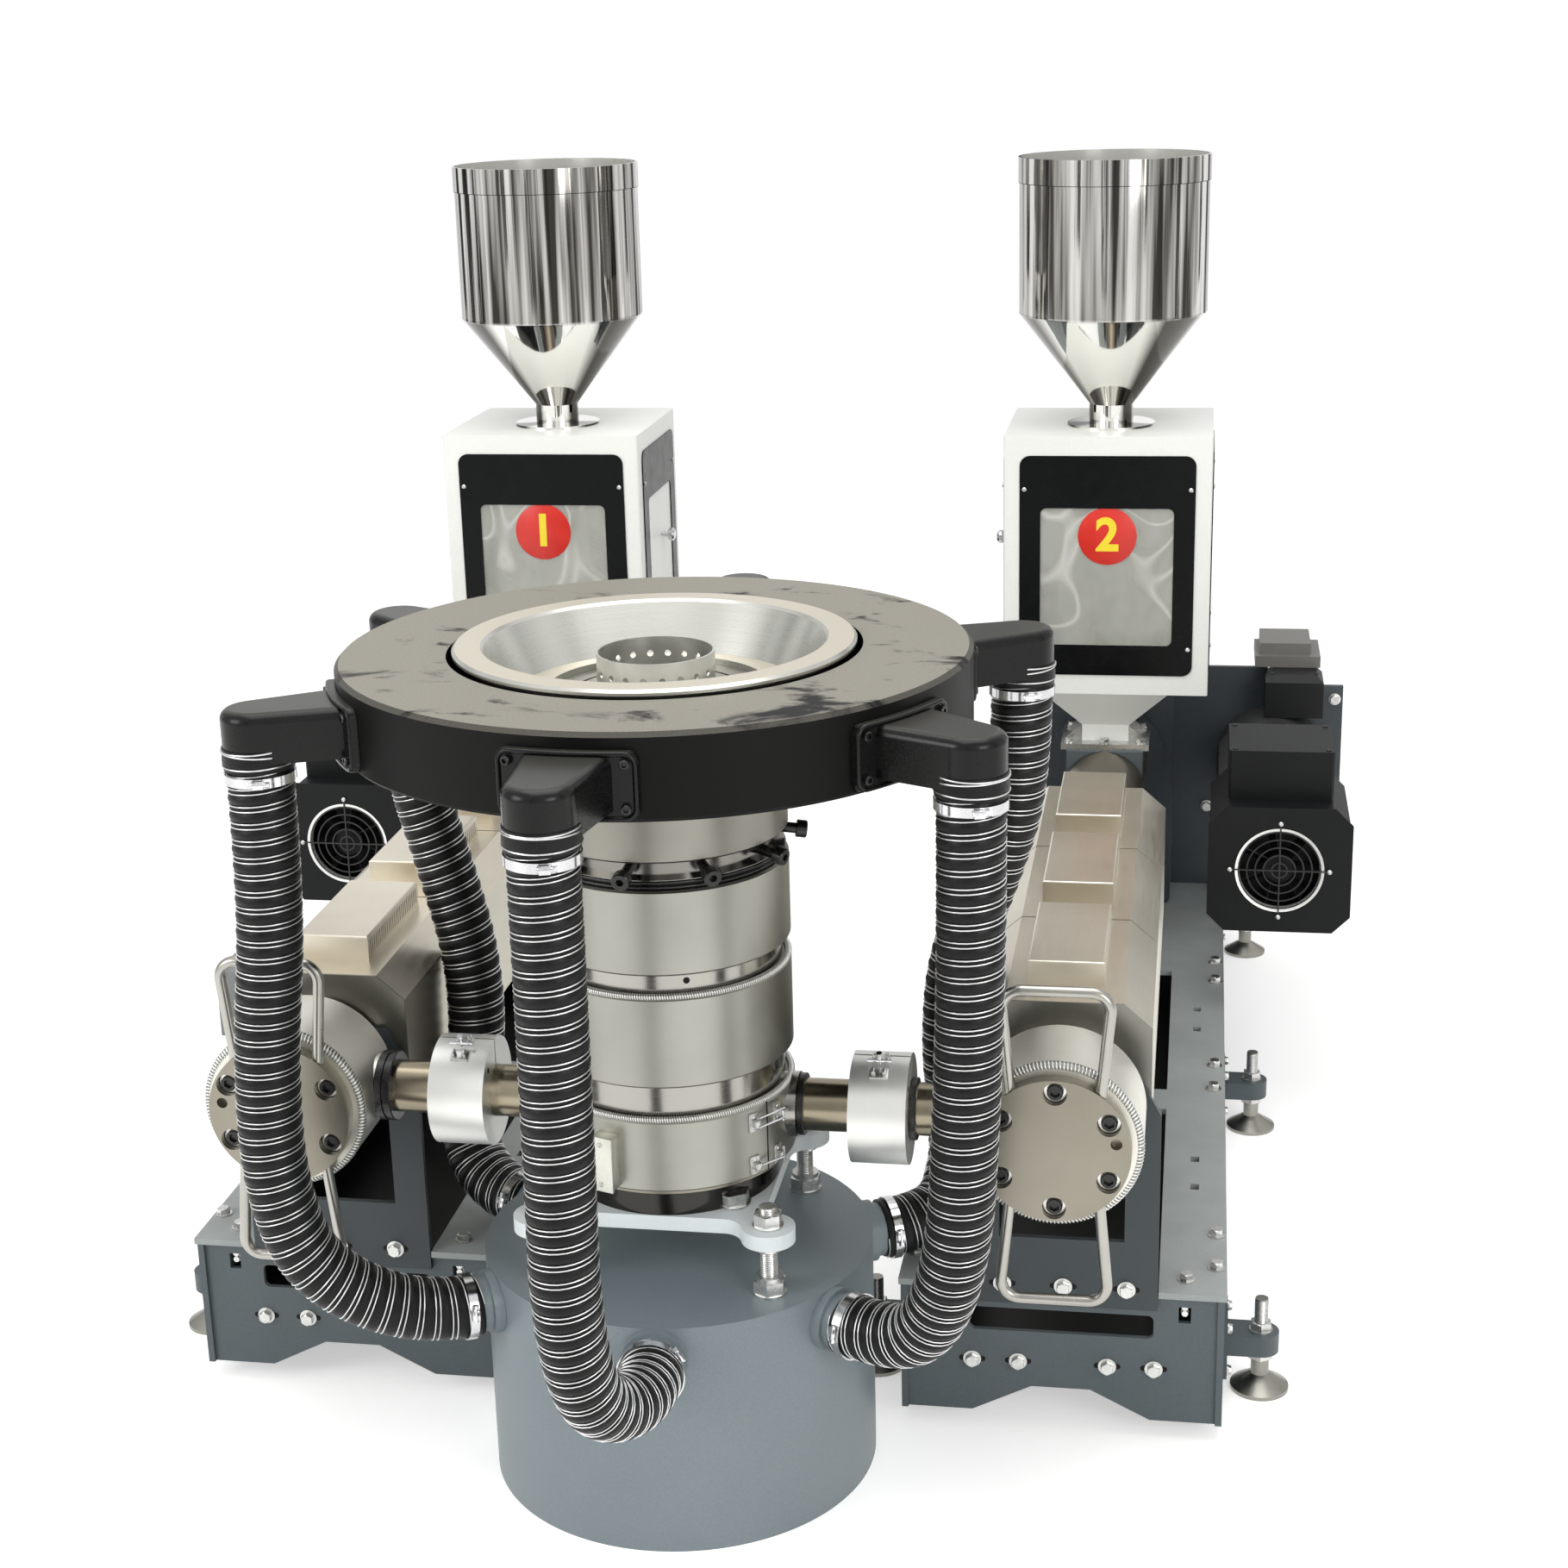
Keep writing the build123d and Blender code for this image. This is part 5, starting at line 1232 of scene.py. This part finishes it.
bar_place = round_pipe(19, 305, 9)[0] + Vector((-0.017, 0, 0))
stem = joined(rod(2.2, 17), stack((4.2, 15), (4.2, 20), sides=12))
collar = stack((38.3, 0), (44, 0), (45, 1), (45, 8), (44, 9), (38.3, 9), sides=48, closed=True)
nut = stack((47.2, 0), (50, 0), (51.5, 1.5), (51.5, 11), (49, 12), (49, 15), (51.5, 16),
            (51.5, 23), (50, 24.5), (38.3, 24.5), (38.3, 11.2), (47.2, 11.2), sides=48, closed=True)
for name, coat, template, spots in (
    ("pipe_catch_plates", zinc_plate, block((-13, -9, -0.5), (13, 9, 2.4), 1.0), [
        round_pipe(turn, 305) for turn in (8, 30)]),
    ("pipe_catch_lugs", zinc_plate, block((-2, -5, 0), (2, 5, 10), 0.6), [
        round_pipe(turn, x) for turn in (8, 30) for x in (297, 313)]),
    ("pipe_catch_bars", chrome_wire, rod(2.4, 34), [(bar_place, Vector(RIGHT), Vector(UP))]),
    ("pipe_catch_stems", chrome_wire, stem, [round_pipe(19, 305, 4)]),
    ("pipe_collars", black_oxide, collar, [spot(x, 0, AXIS_Z, RIGHT, UP) for x in (347, 186)]),
    ("pipe_nuts", black_oxide, nut, [spot(437, 0, AXIS_Z, LEFT, UP)]),
    ("pipe_heater_holes", dark_slot, stack((4.2, -0.5), (4.2, 0.3), sides=18), [
        spot(x, -HOLE_OUT * math.sin(HOLE_TURN), AXIS_Z + HOLE_OUT * math.cos(HOLE_TURN), aim, UP)
        for x, aim in ((263.8, LEFT), (346.2, RIGHT))]),
):
    repeat(name, coat, template, pairs(spots))

# %% [markdown]
# Each fan has a bright spun inlet behind its black guard. The louvres in the side of each cover
# box let the heater's fan breathe. The box on each weigh hopper has a knob on its inner door, and
# the rim of the hopper is a second band of sheet, whose lower edge leaves a fine shadow line round
# the wall, drawn here as a thin dark ring in the step.

# %% Fan inlets, louvres, knobs and rim lines
LOUVRE_FIRST, LOUVRE_STEP, LOUVRES = 12.538, 9.0769, 26
RIM_RADIUS, RIM_FOOT = 180.6, 1742.4
inlet_metal = finish("bright_fan_inlet", "#ededea #f6f6f3", (0.36, 0.42), 8.0,
                     slot="bin_stainless", Metallic=0.6)
inlet = stack((80.6, 0), (72.6, 1.5), (72.6, 11), (73.4, 11), (73.4, 2.2), (80.6, 0.8),
              sides=64, closed=True)
repeat("fan_inlets", inlet_metal, inlet, pairs([spot(FAN_X, 1163.5, FAN_Z, BACK)]))
rows = [start + LOUVRE_FIRST + LOUVRE_STEP * index
        for start in (152.5, 498.5, 844.5) for index in range(LOUVRES)]
repeat("box_louvres", dark_slot, block((-11.9, -1.2, -0.4), (11.9, 1.2, 0.5)), pairs(
    [spot(x, y, 720, aim, UP) for x, aim in ((502, LEFT), (610, RIGHT)) for y in rows]))
knob = stack((5, -1), (5, 12), (11, 12), (13.5, 16), (13.5, 21), (10, 25), (5, 26.5))
repeat("door_knobs", chrome_wire, knob, pairs([spot(356, 1700, 1045, LEFT, UP)]))
rims = joined(*[millimetres(hoop(RIM_RADIUS, 1.2, 0.7, 96, 6), (x, HOPPER_Y / MM, RIM_FOOT))
                for x in (-AXIS_X, AXIS_X)])
new_piece("hopper_rim_lines", to_mesh(rims, "hopper_rim_lines", 60.0), dark_slot)

# %% [markdown]
# A round red sticker on each window tells the two extruders apart. Plain yellow numerals stand in
# for what is on them. Text is a curve in Blender, so it becomes a mesh before it joins the part.

# %% Numbered discs
disc_red = finish("red_vinyl_disc", "#cf2318 #dd3226", (0.30, 0.40), 40.0)
numeral_yellow = finish("yellow_vinyl_numeral", "#f2d51c #fbe33c", (0.30, 0.40), 40.0)
DISC_X, DISC_Y, DISC_Z, NUMERAL_LIFT = 557, 1508, 1087, 1.5


def numeral(digit, x):
    """A flat numeral standing on the disc's front."""
    curve = bpy.data.curves.new("numeral_" + digit, "FONT")
    curve.body, curve.size, curve.extrude, curve.offset = digit, 0.088, 0.0004, 0.0028
    curve.align_x, curve.align_y = "CENTER", "CENTER"
    holder = bpy.data.objects.new("numeral", curve)
    scene.collection.objects.link(holder)
    mesh = evaluated("numeral_" + digit, holder)
    mesh.transform(Matrix.Translation(Vector((x, DISC_Y - NUMERAL_LIFT, DISC_Z)) * MM) @ TO_FRONT)
    new_piece("numeral_" + digit, mesh, numeral_yellow)


repeat("window_discs", disc_red, stack((56, -1), (56, 1.0), (55.4, 1.3), sides=64),
       [spot(x, DISC_Y, DISC_Z, FRONT, RIGHT) for x in (-DISC_X, DISC_X)])
numeral("1", -DISC_X)
numeral("2", DISC_X)

# %% [markdown]
# The room is a pale floor under soft light. The world is white to the camera and softer as light,
# so that the white does not wash the object out. Polished metal shows what stands round it, and in
# the photograph that is a bright hall with dark upright columns. The world draws those columns for
# reflections alone, as bands by compass direction, with a pale floor below the horizon.

# %% Floor and lights
FLOOR_SIZE, FLOOR_LIFT, WORLD_LIGHT, COLUMNS_PER_TURN = 24.0, 0.5, 0.62, 5.0


def seen_rays(add):
    """The kinds of ray, and one for those from the eye, straight or through a clear pane."""
    ray = add("LightPath")
    return ray, add("Math", [ray["Is Camera Ray"], ray["Is Transmission Ray"]], operation="MAXIMUM")[0]


def white_world():
    """White to the eye, softer as light, and a hall of upright columns in reflections."""
    world = bpy.data.worlds.new("studio")
    world.use_nodes = True
    world.node_tree.nodes.clear()
    add = adder(world.node_tree)
    x, y, z = add("SeparateXYZ", [add("TexCoord")["Generated"]])
    bearing = add("Math", [y, x], operation="ARCTAN2")[0]
    bands = add("TexNoise", {"W": bearing, "Scale": COLUMNS_PER_TURN, "Detail": 2.0},
                noise_dimensions="1D")[0]
    column = add("MapRange", {"Value": bands, "From Min": 0.40, "From Max": 0.47,
                              "To Min": 0.10, "To Max": 1.0})[0]
    high = add("MapRange", {"Value": z, "From Min": 0.45, "From Max": 0.75})[0]
    hall = add("Mix", {"Factor": high, "A": column, "B": 1.0})[0]
    ray, seen = seen_rays(add)
    level = add("MapRange", {"Value": seen, "To Min": WORLD_LIGHT, "To Max": 1.0})[0]
    shine = add("Mix", {"Factor": ray["Is Glossy Ray"], "A": level, "B": hall})[0]
    add("OutputWorld", {"Surface": add("Background", {"Color": "#ffffff", "Strength": shine})[0]})
    return world


def pale_floor(add):
    """A floor with a little light of its own, to the eye and in mirrors, so that it stays white
    and keeps the unit's shadow."""
    ray, seen = seen_rays(add)
    seen = add("Math", [seen, ray["Is Glossy Ray"]], operation="MAXIMUM")[0]
    lift = add("Math", [seen, FLOOR_LIFT], operation="MULTIPLY")[0]
    return {"Base Color": "#f4f4f2", "Roughness": 0.85, "Emission Color": "#ffffff",
            "Emission Strength": lift}


scene.world = white_world()
floor_mesh = bpy.data.meshes.new("floor")
half = FLOOR_SIZE / 2
corners = [(-half, -half, 0), (half, -half, 0), (half, half, 0), (-half, half, 0)]
floor_mesh.from_pydata(corners, [], [(0, 1, 2, 3)])
floor_mesh.materials.append(material("pale_floor", pale_floor))
floor = bpy.data.objects.new("floor", floor_mesh)
scene.collection.objects.link(floor)
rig.stage(floor)
for name, place, target, size, power in (
    ("overhead", (0.2, 0.2, 4.4), (0, 0.6, 0.8), 3.4, 90),
    ("front_left", (-3.6, -2.8, 2.6), (0, 0.3, 0.7), 2.2, 75),
    ("front_right", (3.2, -3.2, 2.2), (0.3, 0.5, 0.8), 1.8, 55),
):
    lamp = bpy.data.lights.new(name, "AREA")
    lamp.shape, lamp.size, lamp.energy = "SQUARE", size, power
    panel = bpy.data.objects.new(name, lamp)
    turn = (Vector(target) - Vector(place)).to_track_quat("-Z", "Y")
    panel.matrix_world = Matrix.Translation(place) @ turn.to_matrix().to_4x4()
    scene.collection.objects.link(panel)
    print(name, "light, power:", power)

# %% Finish
json.dump({"cad": [list(corner) for corner in cad_box], "visual": [list(corner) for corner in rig.bounds()]},
          open("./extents.json", "w"))
